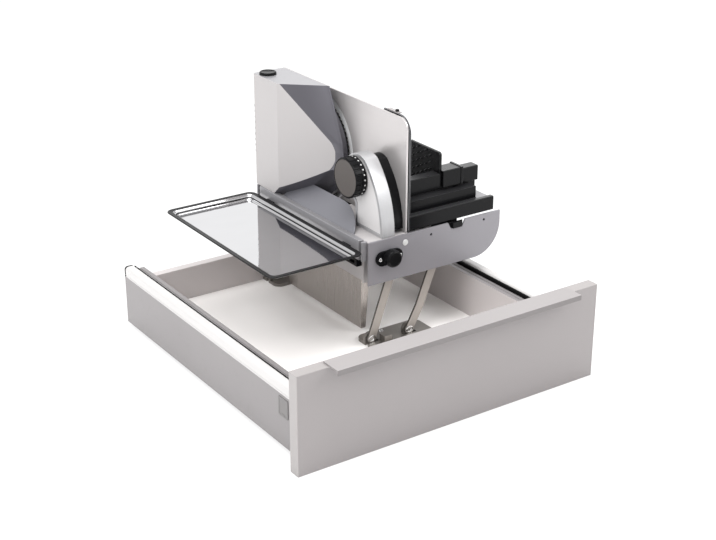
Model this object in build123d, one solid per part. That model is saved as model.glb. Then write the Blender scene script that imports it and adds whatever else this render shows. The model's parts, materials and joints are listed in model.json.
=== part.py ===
from build123d import *
import math
import os

# A kitchen drawer with a food slicer that swings up out of it and folds back down.
# Lengths are millimetres. While drawing, X runs to the right from the left end of the
# drawer front, Y runs back with the slicer's front at slicer_y0, and Z runs up from the
# front's lower edge. The drawer's back stands behind the slicer, and its length sets how
# far its front reaches. The finished solids are moved so that the origin lies on the
# floor, midway between the ends and midway between the grip and the back.

# Drawer
front_w = 497.0
front_h = 143.0
front_t = 18.0
front_round = 0.8
drawer_len = 508.0
wall_inset = 20.2
wall_t = 32.6
wall_skin = 4.0
wall_z = 6.0
runner_top = 44.0
web_t = 5.0
groove_z = 82.0
lip_w = 7.0
lip_top = 89.8
rail_w = 15.8
rail_top = 97.8
rail_round = 5.0
board_t = 16.0
floor_top = 24.1
back_t = 14.0
back_top = 76.7
back_gap = 4.0
cap_y = 36.0
cap_len = 24.0
cap_z = 50.0
cap_h = 28.0
cap_t = 1.0
grip_x0 = 48.0
grip_len = 402.0
grip_out = 19.0
grip_t = 2.4
grip_lip = 8.0
grip_back = 14.0

# Fits
run_gap = 0.05
rest_gap = 0.3
side_gap = 1.5

# Slicer envelope
slicer_y0 = 190.0
slicer_len = 300.0
table_x0 = 251.0
table_len = 239.0
base_z0 = 124.0
base_z1 = 190.0
plate_t = 2.5
plate_corner_r = 48.0

# Lifting linkage
arm_t = 3.5
arm_w = 14.0
foot_r = 7.5
pivot_z = 34.0
pin_proud = 0.2
lift_foot_x = 264.0
lift_len = 104.0
lift_lean = 19.6
lift_pin_r = 5.0
guide_foot_x = 328.0
guide_pin_r = 4.0
guide_low = (346.6, 68.6)
guide_high = (368.7, 124.9)
guide_top = (346.9, 160.0)
guide_wander = 15.7
guide_sway = 5.5
eye_wall = 2.6
eye_gap = 0.4
head_t = 1.0
bracket_x0 = 255.0
bracket_len = 110.0
bracket_y0 = 172.0
bracket_w = 57.0
bracket_t = 4.9
bracket_round = 12.0
block_w = 13.0
block_len = 15.0
block_h = 11.0
ear_gap = 0.5
slot_start = 22.0
slot_end = 20.0
slot_y = 7.0
slot_w = 9.0
screw_r = 3.6
screw_h = 2.2
outer_screws = (14.0, 101.0)
inner_screws = (40.0, 94.0)
outer_screw_y = 7.0
inner_screw_y = 48.0
ear_t = 5.0
ear_r = 9.0

# Base
cheek_t = 3.0
base_w = 70.0
top_t = 4.0
skin_t = 3.0
rim_w = 9.0
rim_h = 30.0
rim_rise = 2.0
strip_h = 12.0
hinge_x = 292.0
hinge_z = 162.0
hinge_r = 5.0
boss_r = 13.0
boss_out = 14.0
flange_t = 3.0
flange_len = 46.0
flange_w = 22.0
flange_shift = 6.0
flange_screw_xs = (-22.0, 12.3)
flange_screw_r = 2.6
boss_shift = 4.0
boss_round = 3.0
stud_x = 23.0
stud_z = 15.6
stud_r = 4.6
stud_t = 1.2
skirt_x = 275.0
skirt_t = 2.0
skirt_y = 243.0
skirt_len = 203.0
skirt_low = 30.0
skirt_flange = 15.0
skirt_near = (8.0, 16.0)
skirt_far = 22.0
cheek_reach = 25.0
cheek_notch = 10.0
end_wall_t = 2.0
strip_inset = 4.0
strip_slot = 6.0

# Blade and tower
blade_r = 85.0
blade_y = 415.0
blade_z = 263.0
blade_x = 319.0
blade_t = 2.0
bevel_w = 9.0
edge_t = 0.4
shaft_r = 6.0
nut_r = 14.0
nut_t = 1.5
guard_r = 80.0
guard_x1 = 317.0
guard_wall = 4.0
seal_w = 3.5
tower_x0 = 245.0
gear_plate_x = 301.0
gear_plate_t = 2.5
tower_top = 369.0
tower_y1 = 491.5
tower_edge_y = 422.0
tip_x = 294.0
tip_y = 339.5
nose_run = 50.0
nose_top = 27.5
nose_upper = (2.2, 290.5)
nose_middle = (-0.2, 268.0)
nose_lower = (3.0, 246.0)
nose_chin = (14.7, 226.0)
nose_neck = (33.5, 199.0)
nose_root = 41.0
shell_t = 3.0
corner_r = 4.0
wheel_x = 270.0
wheel_w = 10.0
wheel_r = 29.0
wheel_teeth = 30
tooth_h = 2.4
tooth_gap = 1.3
drive_x = 275.0
worm_r = 5.7
worm_z = 235.0
worm_len = 50.0
worm_shaft_r = 3.0
motor_r = 24.0
motor_z = 290.0
motor_h = 45.0
button_x = 261.5
button_y = 474.0
button_r = 13.0
button_h = 11.0
button_proud = 4.0
press_travel = 3.0
inlet_z = 215.0
inlet_r = 6.0
chute_y0 = 229.0
chute_bend = (276.0, 264.0)
chute_end = (282.0, 295.0)
chute_h = 25.0
chute_lip = 1.0
motor_flange = 16.0
flange_half = 15.0
motor_foot = 3.5
bearing_half = 12.0
bearing_x = 10.0
bearing_t = 8.0
bearing_foot = 4.0
sleeve_len = 12.0
cup_half = 8.0
cup_h = 10.0
switch_h = 16.0
switch_half = 12.0
switch_len = 18.0
stem_len = 9.0

# Thickness setting
arch_flank = (10.5, 247.0)
arch_shoulder = (-22.5, 29.7)
arch_crown = (21.0, 22.5)
arch_back = (27.0, -14.0)
arch_heel = (2.0, -42.0)
cover_gap = 0.1
cover_t = 2.2
block_gap = 1.0
rod_end = 15.5
flute_r = 2.0
flute_out = 1.0
knob_face_t = 1.0
dial_y = 260.0
dial_z = 266.0
knob_r = 30.0
knob_t = 18.7
knob_rim = 2.0
knob_dish = 1.2
flute_count = 24
flute_len = 11.0
spindle_r = 5.0
arch_x0 = 277.0
arch_w = 22.0
arch_rim = 5.0
arch_recess = 3.0
arch_web = 3.0
rod_r = 3.0
rod_places = [(222.0, 215.0), (248.0, 215.0)]
fence_x = 318.0
fence_t = 3.0
fence_low = 191.0
fence_h = 168.0
fence_y1 = 389.0
fence_round = 16.0
fence_gap = 2.5

# Table and carriage
rear_inset = 15.0
rear_cap_t = 1.5
pan_inset = 14.0
latch_inset = 4.0
latch_deep = 18.0
latch_top = 1.0
tongue_inset = 8.0
tongue_out = 2.5
runner_shift = 4.5
tie_inset = 6.0
tie_w = 8.0
tie_gap = 2.0
soft_r = 2.0
bed_step = 3.0
hand_corner = (24.0, 26.0)
hand_bulge = (6.5, 8.0)
hand_front = 0.5
clip_out = 3.0
collar_out = 1.0
point_r = 1.8
point_tip = 0.6
point_inset = (7.0, 8.0)
pan_x0 = 330.0
pan_w = 100.0
pan_ledge_w = 46.0
pan_t = 2.0
track_h = 5.0
track_w = 12.0
track_xs = (340.0, 414.0)
notch_x0 = 392.0
notch_x1 = 425.0
notch_h = 10.0
notch_slope = 6.0
rivet_r = 2.0
rivet_places = ((361.7, 179.4), (459.5, 181.2))
runner_h = 13.7
runner_len = 263.0
foot_y = 212.0
foot_len = 88.0
bed_x0 = 326.5
bed_x1 = 480.0
bed_z = 192.0
bed_len = 142.0
bed_t = 4.0
beam_w = 9.0
beam_h = 21.0
step_y = 208.0
step_x1 = 457.0
step_top = 229.0
rail_x1 = 472.0
rail_y = 223.0
rail_deep = 18.0
rail_low = 232.0
push_rail_top = 255.0
hand_plate_t = 3.0
hand_plate_len = 64.0
hand_plate_h = 169.0
clip_y = 222.0
clip_len = 27.0
clip_h = 4.5
sleeve_x = 404.0
sleeve_w = 32.0
sleeve_wall = 4.0
collar_w = 4.0
pusher_t = 4.0
pusher_y1 = 300.0
pusher_z0 = 199.0
pusher_z1 = 287.0
point_h = 3.0
point_pitch = 11.0
point_rows = 7
point_columns = 5
end_block_gap = 3.0

# Tray
tray_x0 = 85.0
tray_w = 154.0
tray_y0 = 182.0
tray_len = 310.0
tray_z = 171.0
tray_h = 9.0
tray_t = 1.2
tray_rim = 8.0
tray_round = 12.0
hook_w = 20.0
hook_t = 8.0
hook_in = 40.0
hook_drop = 13.0

# Worked out from the values above
inner_x0 = wall_inset + wall_t
inner_x1 = front_w - inner_x0
slicer_y1 = slicer_y0 + slicer_len
inner_back = slicer_y1 + back_gap
drawer_y1 = inner_back + back_t
drawer_y0 = drawer_y1 - drawer_len
pan_x1 = pan_x0 + pan_w
pan_wide_x = pan_x1 - pan_ledge_w
fence_top = fence_low + fence_h
mid_y = slicer_y0 + slicer_len / 2
outer_y = slicer_y0 + plate_t + side_gap
inner_y = outer_y + arm_t + side_gap
cheek_y = inner_y + arm_t + side_gap
clear_y = outer_y
base_x0 = table_x0 + 1
base_x1 = base_x0 + base_w
rim_x0 = base_x0 - rim_w
rim_top = base_z1 + rim_rise
table_x1 = table_x0 + table_len
lean = math.radians(lift_lean)
lift_top = (lift_foot_x + lift_len * math.sin(lean), pivot_z + lift_len * math.cos(lean))
drive_y = blade_y + wheel_r + worm_r + rest_gap
rear_plate_y = blade_y + blade_r + 1
track_top = base_z0 + pan_t + track_h
runner_z = track_top + rest_gap
origin_x = front_w / 2
origin_y = (drawer_y1 + drawer_y0 - front_t - grip_out) / 2

nodes = {}


def slab(x0, x1, y0, y1, z0, z1):
    return Pos((x0 + x1) / 2, (y0 + y1) / 2, (z0 + z1) / 2) * Box(x1 - x0, y1 - y0, z1 - z0)


def along_x(x, y, z, r, length):
    return Pos(x + length / 2, y, z) * Rot(0, 90, 0) * Cylinder(r, length)


def along_y(x, y, z, r, length):
    return Pos(x, y + length / 2, z) * Rot(90, 0, 0) * Cylinder(r, length)


def along_z(x, y, z, r, length):
    return Pos(x, y, z + length / 2) * Cylinder(r, length)


# An outline drawn in (Y, Z), as thick as x0 to x1.
def side_solid(face, x0, x1):
    return extrude(Plane(origin=(x0, 0, 0), x_dir=(0, 1, 0), z_dir=(1, 0, 0)) * face, amount=x1 - x0)


# An outline drawn in (X, Z), as thick as y0 to y1.
def front_solid(face, y0, y1):
    return extrude(Plane(origin=(0, y1, 0), x_dir=(1, 0, 0), z_dir=(0, -1, 0)) * face, amount=y1 - y0)


# An outline drawn in (X, Y), as thick as z0 to z1.
def plan_solid(face, z0, z1):
    return extrude(Plane(origin=(0, 0, z0)) * face, amount=z1 - z0)


def outline(*points):
    return make_face(Polyline(*points, close=True).edges())


# A flat link with round ends that follows points in (X, Z).
def link(points, width, y0, y1):
    bar = along_y(points[0][0], y0, points[0][1], width / 2, y1 - y0)
    for (xa, za), (xb, zb) in zip(points, points[1:]):
        length = math.hypot(xb - xa, zb - za)
        turn = math.degrees(math.atan2(zb - za, xb - xa))
        middle = Pos((xa + xb) / 2, (y0 + y1) / 2, (za + zb) / 2)
        bar += middle * Rot(0, -turn, 0) * Box(length, y1 - y0, width)
        bar += along_y(xb, y0, zb, width / 2, y1 - y0)
    return bar


# The same piece at the back of the slicer, where everything is mirrored.
def rear_copy(solid):
    return mirror(solid, about=Plane(origin=(0, mid_y, 0), x_dir=(1, 0, 0), z_dir=(0, 1, 0)))


# The same piece on the right-hand side of the drawer.
def right_copy(solid):
    return mirror(solid, about=Plane(origin=(origin_x, 0, 0), x_dir=(0, 1, 0), z_dir=(1, 0, 0)))


def both_ends(*solids):
    return Compound(children=[s for solid in solids for s in (solid, rear_copy(solid))])


def drawer():
    front_y = drawer_y0 - front_t
    panel = slab(0, front_w, front_y, drawer_y0, 0, front_h)
    nodes["front_panel"] = fillet(panel.edges(), front_round)

    # The grip is an edge profile that lies on the panel, reaches out and turns down.
    low, top = front_h, front_h + grip_t
    nose, back = front_y - grip_out, front_y + grip_back
    profile = outline((back, low), (back, top), (nose, top), (nose, top - grip_lip),
                      (nose + grip_t, top - grip_lip), (nose + grip_t, low))
    nodes["grip_strip"] = side_solid(profile, grip_x0, grip_x0 + grip_len)

    x0, x1 = wall_inset, inner_x0
    wall = slab(x0, x0 + wall_skin, drawer_y0, drawer_y1, wall_z, groove_z)
    wall += slab(x1 - wall_skin, x1, drawer_y0, drawer_y1, wall_z, groove_z)
    wall += slab(x0, x1, drawer_y0, drawer_y1, groove_z - web_t, groove_z)
    wall += slab(x0, x1, drawer_y0, drawer_y1, runner_top, runner_top + web_t)
    wall += slab(x1 - lip_w, x1, drawer_y0, drawer_y1, groove_z, lip_top)
    nodes["left_wall"] = wall
    nodes["right_wall"] = right_copy(wall)

    rail = slab(x0, x0 + rail_w, drawer_y0, drawer_y1, groove_z, rail_top)
    rail = fillet(rail.edges().filter_by(Axis.Y).group_by(Axis.Z)[-1], rail_round)
    nodes["left_rail"] = rail
    nodes["right_rail"] = right_copy(rail)

    near = drawer_y0 + cap_y
    cap = slab(x0 - cap_t, x0, near, near + cap_len, cap_z, cap_z + cap_h)
    cap = fillet(cap.edges().filter_by(Axis.X), 2 * cap_t)
    nodes["cover_caps"] = Compound(children=[cap, right_copy(cap)])

    nodes["drawer_floor"] = slab(inner_x0, inner_x1, drawer_y0, inner_back, floor_top - board_t, floor_top)
    nodes["back_panel"] = slab(inner_x0, inner_x1, inner_back, drawer_y1, floor_top - board_t, back_top)


# The brackets carry both pairs of arms. Each arm stands in front of its own ear.
def brackets():
    plate_top = floor_top + bracket_t
    foot = slab(bracket_x0, bracket_x0 + bracket_len, bracket_y0, bracket_y0 + bracket_w, floor_top, plate_top)
    foot = fillet(foot.edges().filter_by(Axis.Z), bracket_round)
    block_x = lift_foot_x + foot_r + bracket_t
    foot += slab(block_x, block_x + block_w, inner_y - block_len, inner_y - side_gap, floor_top, plate_top + block_h)
    for x, arm_y in ((lift_foot_x, inner_y), (guide_foot_x, outer_y)):
        ear_y = arm_y + arm_t + ear_gap
        foot += slab(x - ear_r, x + ear_r, ear_y, ear_y + ear_t, floor_top, pivot_z)
        foot += along_y(x, ear_y, pivot_z, ear_r, ear_t)
        reach = ear_r + 2 * side_gap
        foot -= slab(x - reach, x + reach, arm_y - side_gap - ear_gap, ear_y, 0, front_h)
    foot -= slab(block_x + slot_start, guide_foot_x + slot_end, bracket_y0 + slot_y, bracket_y0 + slot_y + slot_w,
                 0, front_h)
    foot -= along_y(lift_foot_x, inner_y, pivot_z, lift_pin_r, 4 * ear_t)
    foot -= along_y(guide_foot_x, outer_y, pivot_z, guide_pin_r, 4 * ear_t)
    nodes["floor_bracket_front"] = foot
    # The rear bracket is cut short where it meets the back of the drawer.
    nodes["floor_bracket_rear"] = rear_copy(foot) - slab(0, front_w, inner_back, 2 * drawer_y1, 0, front_h)

    outer = [along_z(bracket_x0 + x, bracket_y0 + outer_screw_y, plate_top, screw_r, screw_h) for x in outer_screws]
    inner = [along_z(bracket_x0 + x, bracket_y0 + inner_screw_y, plate_top, screw_r, screw_h) for x in inner_screws]
    nodes["bracket_screws"] = Compound(children=outer + inner + [rear_copy(screw) for screw in inner])
    lift_pin = foot_pin(lift_foot_x, inner_y, lift_pin_r)
    nodes["foot_pins"] = both_ends(lift_pin, foot_pin(guide_foot_x, outer_y, guide_pin_r))


# A pin pressed into a bracket's ear, with a flat head in front of the arm.
def foot_pin(x, arm_y, r):
    start = arm_y - pin_proud
    pin = along_y(x, start, pivot_z, r, arm_t + pin_proud + ear_gap + ear_t)
    return pin + along_y(x, start - head_t, pivot_z, foot_r - head_t, head_t)


def arms():
    foot_x, foot_z = lift_foot_x, pivot_z
    top_x, top_z = lift_top
    arm = link([(foot_x, foot_z), lift_top], arm_w, inner_y, inner_y + arm_t)
    arm += along_y(foot_x, inner_y, foot_z, foot_r, arm_t)
    arm -= along_y(foot_x, inner_y - arm_t, foot_z, lift_pin_r + run_gap, 3 * arm_t)
    arm -= along_y(top_x, inner_y - arm_t, top_z, lift_pin_r + run_gap, 3 * arm_t)
    nodes["left_arm_front"] = arm
    nodes["left_arm_rear"] = rear_copy(arm)

    # The outer arm is cranked, and its long eye lets the upper pin wander.
    start = (guide_foot_x, pivot_z)
    reach = math.hypot(guide_top[0] - start[0], guide_top[1] - start[1])
    ux, uz = (guide_top[0] - start[0]) / reach, (guide_top[1] - start[1]) / reach
    near = (guide_top[0] + uz * guide_sway / 2, guide_top[1] - ux * guide_sway / 2)
    far = (near[0] + ux * guide_wander, near[1] + uz * guide_wander)
    slot_w = 2 * (guide_pin_r + eye_gap) + guide_sway
    arm = link([start, guide_low, guide_high, near], arm_w, outer_y, outer_y + arm_t)
    arm += along_y(start[0], outer_y, start[1], foot_r, arm_t)
    arm += link([near, far], slot_w + 2 * eye_wall, outer_y, outer_y + arm_t)
    arm -= link([near, far], slot_w, outer_y - arm_t, outer_y + 2 * arm_t)
    arm -= along_y(start[0], outer_y - arm_t, start[1], guide_pin_r + run_gap, 3 * arm_t)
    nodes["right_arm_front"] = arm
    nodes["right_arm_rear"] = rear_copy(arm)


def base():
    rear = 2 * mid_y - cheek_y
    body = slab(base_x0, base_x1, clear_y, 2 * mid_y - clear_y, base_z1 - top_t, base_z1)
    body -= slab(gear_plate_x + gear_plate_t, base_x1 + 1, blade_y - blade_r, 2 * mid_y, base_z1 - 2 * top_t,
                 base_z1 + 1)
    body += slab(base_x0, base_x0 + skin_t, cheek_y, rear, base_z0 + skin_t, base_z1 - top_t)
    end_x = base_x1 + end_wall_t
    body += slab(base_x1, end_x, cheek_y, rear, base_z0 + skin_t, base_z1 - top_t - cheek_notch)
    body += slab(base_x0, end_x, cheek_y, rear, base_z0 + skin_t, base_z0 + skin_t + end_wall_t)
    corner = (end_x + end_wall_t, base_z0 + cheek_notch)
    cheek = outline((base_x0, base_z0), (corner[0], base_z0), corner, (guide_top[0] + cheek_reach, corner[1]),
                    (guide_top[0] + cheek_reach, base_z1 - top_t), (base_x0, base_z1 - top_t))
    cheek = front_solid(cheek, cheek_y, cheek_y + cheek_t)
    body += cheek + rear_copy(cheek)
    nodes["base_body"] = body

    bar_y = inner_y + arm_t + side_gap / 2
    bar = slab(rim_x0, base_x0, bar_y, 2 * mid_y - bar_y, rim_top - rim_h, rim_top)
    end = slab(rim_x0, base_x0, clear_y, inner_y - side_gap / 2, rim_top - rim_h, rim_top)
    nodes["rim_bar"] = Compound(children=[bar, end, rear_copy(end)])
    low = rim_top - rim_h
    near, far = cheek_y + strip_inset, rear - strip_inset
    strip = slab(rim_x0, base_x0, near, far, low - strip_h, low)
    slot = slab(rim_x0 - 1, rim_x0 + strip_inset, near + strip_slot, far - strip_slot,
                low - strip_h + strip_inset, low - strip_inset)
    nodes["tray_slot_strip"] = strip - slot

    top = base_z0 + skin_t
    skirt = slab(skirt_x, skirt_x + skirt_t, skirt_y, skirt_y + skirt_len, skirt_low, top)
    skirt += slab(skirt_x, skirt_x + skirt_flange, skirt_y, skirt_y + skirt_len, top - skirt_t, top)
    low_x, top_x = skirt_x + skirt_near[0], skirt_x + skirt_near[1]
    fold = outline((skirt_x, skirt_low), (low_x, skirt_low), (top_x, top), (skirt_x, top))
    skirt += front_solid(fold, skirt_y, skirt_y + skirt_t)
    skirt += slab(skirt_x, skirt_x + skirt_far, skirt_y + skirt_len - skirt_t, skirt_y + skirt_len, skirt_low, top)
    nodes["apron"] = skirt

    stub = along_y(lift_top[0], inner_y - pin_proud, lift_top[1], lift_pin_r, cheek_y - inner_y + pin_proud)
    stub += along_y(lift_top[0], inner_y - pin_proud - head_t, lift_top[1], foot_r - head_t, head_t)
    peg = along_y(guide_top[0], outer_y - pin_proud, guide_top[1], guide_pin_r, cheek_y - outer_y + pin_proud)
    peg += along_y(guide_top[0], outer_y - pin_proud - head_t, guide_top[1], foot_r + side_gap, head_t)
    nodes["pivot_pins"] = both_ends(stub, peg)
    pin = along_y(hinge_x, slicer_y0 + pin_proud, hinge_z, hinge_r, cheek_y - slicer_y0 - pin_proud)
    rear_pin = along_y(hinge_x, rear, hinge_z, hinge_r, rear_plate_y + plate_t - rear)
    nodes["hinge_pins"] = Compound(children=[pin, rear_pin])


# The curved front of the tower follows the slant of its leaf-shaped left wall.
def behind_nose(inset):
    slope = math.hypot(gear_plate_x - tower_x0, nose_run)
    along = ((gear_plate_x - tower_x0) / slope, -nose_run / slope)
    across = (-along[1], along[0])
    tip = across[0] * tip_x + across[1] * tip_y + inset
    upper, middle, lower, chin, neck = [
        (tip + deep, z) for deep, z in (nose_upper, nose_middle, nose_lower, nose_chin, nose_neck)]
    top, root, back = tip + nose_top, tip + nose_root, tip + front_w
    pieces = Line((top, tower_top), upper).edges() + ThreePointArc(upper, middle, lower).edges()
    pieces += Spline(lower, chin, neck, (root, base_z1)).edges()
    pieces += Polyline((root, base_z1), (back, base_z1), (back, tower_top), (top, tower_top)).edges()
    plane = Plane(origin=(0, 0, 0), x_dir=(across[0], across[1], 0), z_dir=(along[0], along[1], 0))
    return extrude(plane * make_face(pieces), amount=drawer_y1, both=True)


# The plan of the tower, drawn in by an inset on every side but the right.
def tower_plan(inset, x1, z0, z1):
    run = math.hypot(tip_x - tower_x0, tower_edge_y - tip_y)
    shift = inset * run / (tip_x - tower_x0)
    edge_y = tower_edge_y + shift - inset * (tower_edge_y - tip_y) / (tip_x - tower_x0)
    plan = outline((tower_x0 + inset, tower_y1 - inset), (tower_x0 + inset, edge_y),
                   (tip_x, tip_y + shift), (x1, tip_y + shift - (x1 - tip_x)), (x1, tower_y1 - inset))
    return plan_solid(plan, z0, z1)


def tower():
    plate_x1 = gear_plate_x + gear_plate_t
    envelope = tower_plan(0, plate_x1, base_z1, tower_top)
    corner = envelope.edges().filter_by(Axis.Z).group_by(Axis.Y)[-1].sort_by(Axis.X)[0]
    envelope = fillet(corner, corner_r) & behind_nose(0)
    envelope -= slab(0, base_x0, 0, 2 * drawer_y1, 0, rim_top)
    cavity = tower_plan(shell_t, gear_plate_x, base_z1, tower_top - shell_t) & behind_nose(2 * shell_t)
    plate_slab = slab(gear_plate_x, plate_x1, 0, 2 * drawer_y1, 0, 2 * tower_top)
    shell = envelope - plate_slab - cavity
    shell -= along_z(button_x, button_y, tower_top - 2 * shell_t, button_r + run_gap, 4 * shell_t)
    nodes["tower_shell"] = shell - along_y(drive_x, tower_y1 - 2 * shell_t, inlet_z, inlet_r, 4 * shell_t)
    plate = envelope & plate_slab
    nodes["gear_plate"] = plate - along_x(gear_plate_x - 1, blade_y, blade_z, shaft_r + run_gap, 3 * gear_plate_t)

    seal_x = guard_x1 - seal_w
    guard = along_x(plate_x1, blade_y, blade_z, guard_r, seal_x - plate_x1)
    guard -= along_x(plate_x1 + skin_t, blade_y, blade_z, guard_r - guard_wall, guard_x1)
    nodes["guard_ring"] = guard - along_x(plate_x1 - 1, blade_y, blade_z, shaft_r + run_gap, 2 * skin_t)
    seal = along_x(seal_x, blade_y, blade_z, guard_r, seal_w)
    nodes["guard_seal"] = seal - along_x(seal_x - 1, blade_y, blade_z, guard_r - guard_wall, 2 * seal_w)

    inlet = along_y(drive_x, tower_y1 - inlet_r, inlet_z, inlet_r, inlet_r)
    nodes["cord_inlet"] = inlet - along_y(drive_x, tower_y1 - 2 * inlet_r, inlet_z, inlet_r / 2, 3 * inlet_r)

    # The slide for slices is bounded by a curve that runs from the rim to below the blade.
    right, start_x = chute_end[0], base_x0 + chute_lip
    ramp = front_solid(outline((start_x, base_z1), (right, base_z1), (right, base_z1 + chute_h),
                               (start_x, base_z1 + chute_lip)), chute_y0, tower_edge_y)
    bend = ThreePointArc((start_x, chute_y0), chute_bend, chute_end).edges()
    bend += Polyline(chute_end, (right, tower_edge_y), (start_x, tower_edge_y), (start_x, chute_y0)).edges()
    ramp = ramp & plan_solid(make_face(bend), base_z1, tower_top)
    nodes["chute"] = ramp - tower_plan(-rest_gap, plate_x1, 0, tower_top)


def drive():
    motor = along_z(drive_x, drive_y, motor_z, motor_r, motor_h)
    motor += slab(wheel_x - motor_flange, gear_plate_x, drive_y - flange_half, drive_y + flange_half,
                  motor_z - motor_foot, motor_z)
    bore = worm_shaft_r + run_gap
    nodes["motor_can"] = motor - along_z(drive_x, drive_y, motor_z - 2 * motor_foot, bore, motor_h + motor_foot)
    worm = along_z(drive_x, drive_y, worm_z, worm_r, worm_len)
    low, high = worm_z - cup_h, motor_z + motor_h - motor_foot
    nodes["worm_shaft"] = worm + along_z(drive_x, drive_y, low, worm_shaft_r, high - low)

    wheel = along_x(wheel_x, blade_y, blade_z, wheel_r, wheel_w)
    notch = slab(-wheel_w, wheel_w, -tooth_gap, tooth_gap, wheel_r - tooth_h, 2 * wheel_r)
    for i in range(wheel_teeth):
        turn = 360 * (i + 0.5) / wheel_teeth
        wheel -= Pos(wheel_x + wheel_w / 2, blade_y, blade_z) * Rot(turn, 0, 0) * notch
    nodes["gear_wheel"] = wheel - along_x(wheel_x - wheel_w, blade_y, blade_z, shaft_r, 3 * wheel_w)

    plate_x, plate_z = wheel_x - bearing_x, blade_z - wheel_r - shaft_r
    near, far = blade_y - bearing_half, blade_y + bearing_half
    bearing = slab(plate_x, plate_x + bearing_t, near, far, plate_z, blade_z + bearing_half)
    bearing += slab(plate_x, gear_plate_x, near, far, plate_z, plate_z + bearing_foot)
    bearing -= along_x(plate_x - 1, blade_y, blade_z, shaft_r + run_gap, 2 * bearing_t)
    sleeve = along_x(gear_plate_x - sleeve_len, blade_y, blade_z, 2 * shaft_r, sleeve_len)
    sleeve -= along_x(gear_plate_x - 2 * sleeve_len, blade_y, blade_z, shaft_r + run_gap, 3 * sleeve_len)
    cup_z = worm_z - side_gap - cup_h
    cup = slab(drive_x - cup_half - side_gap, gear_plate_x, drive_y - cup_half, drive_y + cup_half, cup_z,
               cup_z + cup_h)
    cup -= along_z(drive_x, drive_y, cup_z + 1, bore, 2 * cup_h)
    nodes["shaft_bearings"] = Compound(children=[bearing, sleeve, cup])

    blade = along_x(blade_x, blade_y, blade_z, blade_r, blade_t)
    rim = blade.edges().filter_by(GeomType.CIRCLE).sort_by(Axis.X)[0]
    blade = chamfer(rim, blade_t - edge_t, bevel_w)
    nodes["blade"] = blade - along_x(blade_x - 1, blade_y, blade_z, shaft_r, 3 * blade_t)
    nut_x = blade_x + blade_t
    spindle = along_x(plate_x, blade_y, blade_z, shaft_r, nut_x - plate_x)
    nodes["blade_shaft"] = spindle + along_x(nut_x, blade_y, blade_z, nut_r, nut_t)

    low = tower_top + button_proud - button_h
    body_top = low - press_travel - run_gap
    button = along_z(button_x, button_y, low, button_r, button_h)
    nodes["switch_button"] = button + along_z(button_x, button_y, low - stem_len, rod_r, stem_len)
    body = slab(tower_x0 + shell_t, button_x + switch_len, button_y - switch_half, button_y + switch_half,
                body_top - switch_h, body_top)
    nodes["switch_body"] = body - along_z(button_x, button_y, body_top - switch_half, rod_r + run_gap, switch_h)


# The arch seen from the side: a leaning front flank, a round crown and a back flank.
def arch_face(inset):
    def near_dial(offset):
        return (dial_y + offset[0], dial_z + offset[1])

    front = (clear_y, base_z1)
    shoulder = near_dial(arch_shoulder)
    back = near_dial(arch_back)
    edges = ThreePointArc(front, (clear_y + arch_flank[0], arch_flank[1]), shoulder).edges()
    edges += ThreePointArc(shoulder, near_dial(arch_crown), back).edges()
    edges += Polyline(back, near_dial(arch_heel), (dial_y, base_z1), front).edges()
    face = make_face(edges)
    return offset(face, amount=-inset) if inset else face


def thickness():
    web_x = arch_x0 + arch_recess
    hollow_x = web_x + arch_web
    arch_x1 = arch_x0 + arch_w
    arch = side_solid(arch_face(0), arch_x0, arch_x1)
    arch -= side_solid(arch_face(arch_rim), arch_x0 - 1, web_x)
    arch -= side_solid(arch_face(arch_rim), hollow_x, arch_x1 + 1)
    arch -= along_x(web_x - 1, dial_y, dial_z, spindle_r + run_gap, 2 * arch_web)
    stop_x = blade_x - rod_end
    for y, z in rod_places:
        arch += along_x(hollow_x, y, z, rod_r, stop_x - hollow_x)
    nodes["fence_arch"] = arch
    cover = side_solid(arch_face(arch_rim + cover_gap), web_x - cover_t, web_x)
    nodes["arch_cover"] = cover - along_x(web_x - 2 * cover_t, dial_y, dial_z, spindle_r + rest_gap, 3 * cover_t)

    knob_x1 = arch_x0 - rest_gap
    knob_x0 = knob_x1 - knob_t
    knob = along_x(knob_x0, dial_y, dial_z, knob_r, knob_t)
    for i in range(flute_count):
        angle = math.radians(360 * i / flute_count)
        y, z = dial_y + (knob_r + flute_out) * math.cos(angle), dial_z + (knob_r + flute_out) * math.sin(angle)
        knob -= along_x(knob_x0 - 1, y, z, flute_r, flute_len)
    knob -= along_x(knob_x0 - 1, dial_y, dial_z, knob_r - knob_rim, knob_dish + 1)
    nodes["knob"] = knob
    nodes["knob_face"] = along_x(knob_x0 + knob_dish - knob_face_t, dial_y, dial_z, knob_r - knob_rim, knob_face_t)
    nodes["knob_spindle"] = along_x(knob_x1, dial_y, dial_z, spindle_r, stop_x - knob_x1)

    block = side_solid(arch_face(arch_rim + block_gap), arch_x1 - 1, fence_x)
    block -= along_x(arch_x1 - 2, dial_y, dial_z, spindle_r + rest_gap, fence_x - arch_x0)
    for y, z in rod_places:
        block -= along_x(arch_x1 - 2, y, z, rod_r + run_gap, fence_x - arch_x0)
    nodes["fence_slide"] = block

    plate = slab(fence_x, fence_x + fence_t, clear_y, fence_y1, fence_low, fence_top)
    corner = plate.edges().filter_by(Axis.X).group_by(Axis.Z)[-1].sort_by(Axis.Y)[0]
    plate = fillet(corner, fence_round)
    nodes["fence_plate"] = plate - along_x(fence_x - 1, blade_y, blade_z, blade_r + fence_gap, 3 * fence_t)


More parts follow.
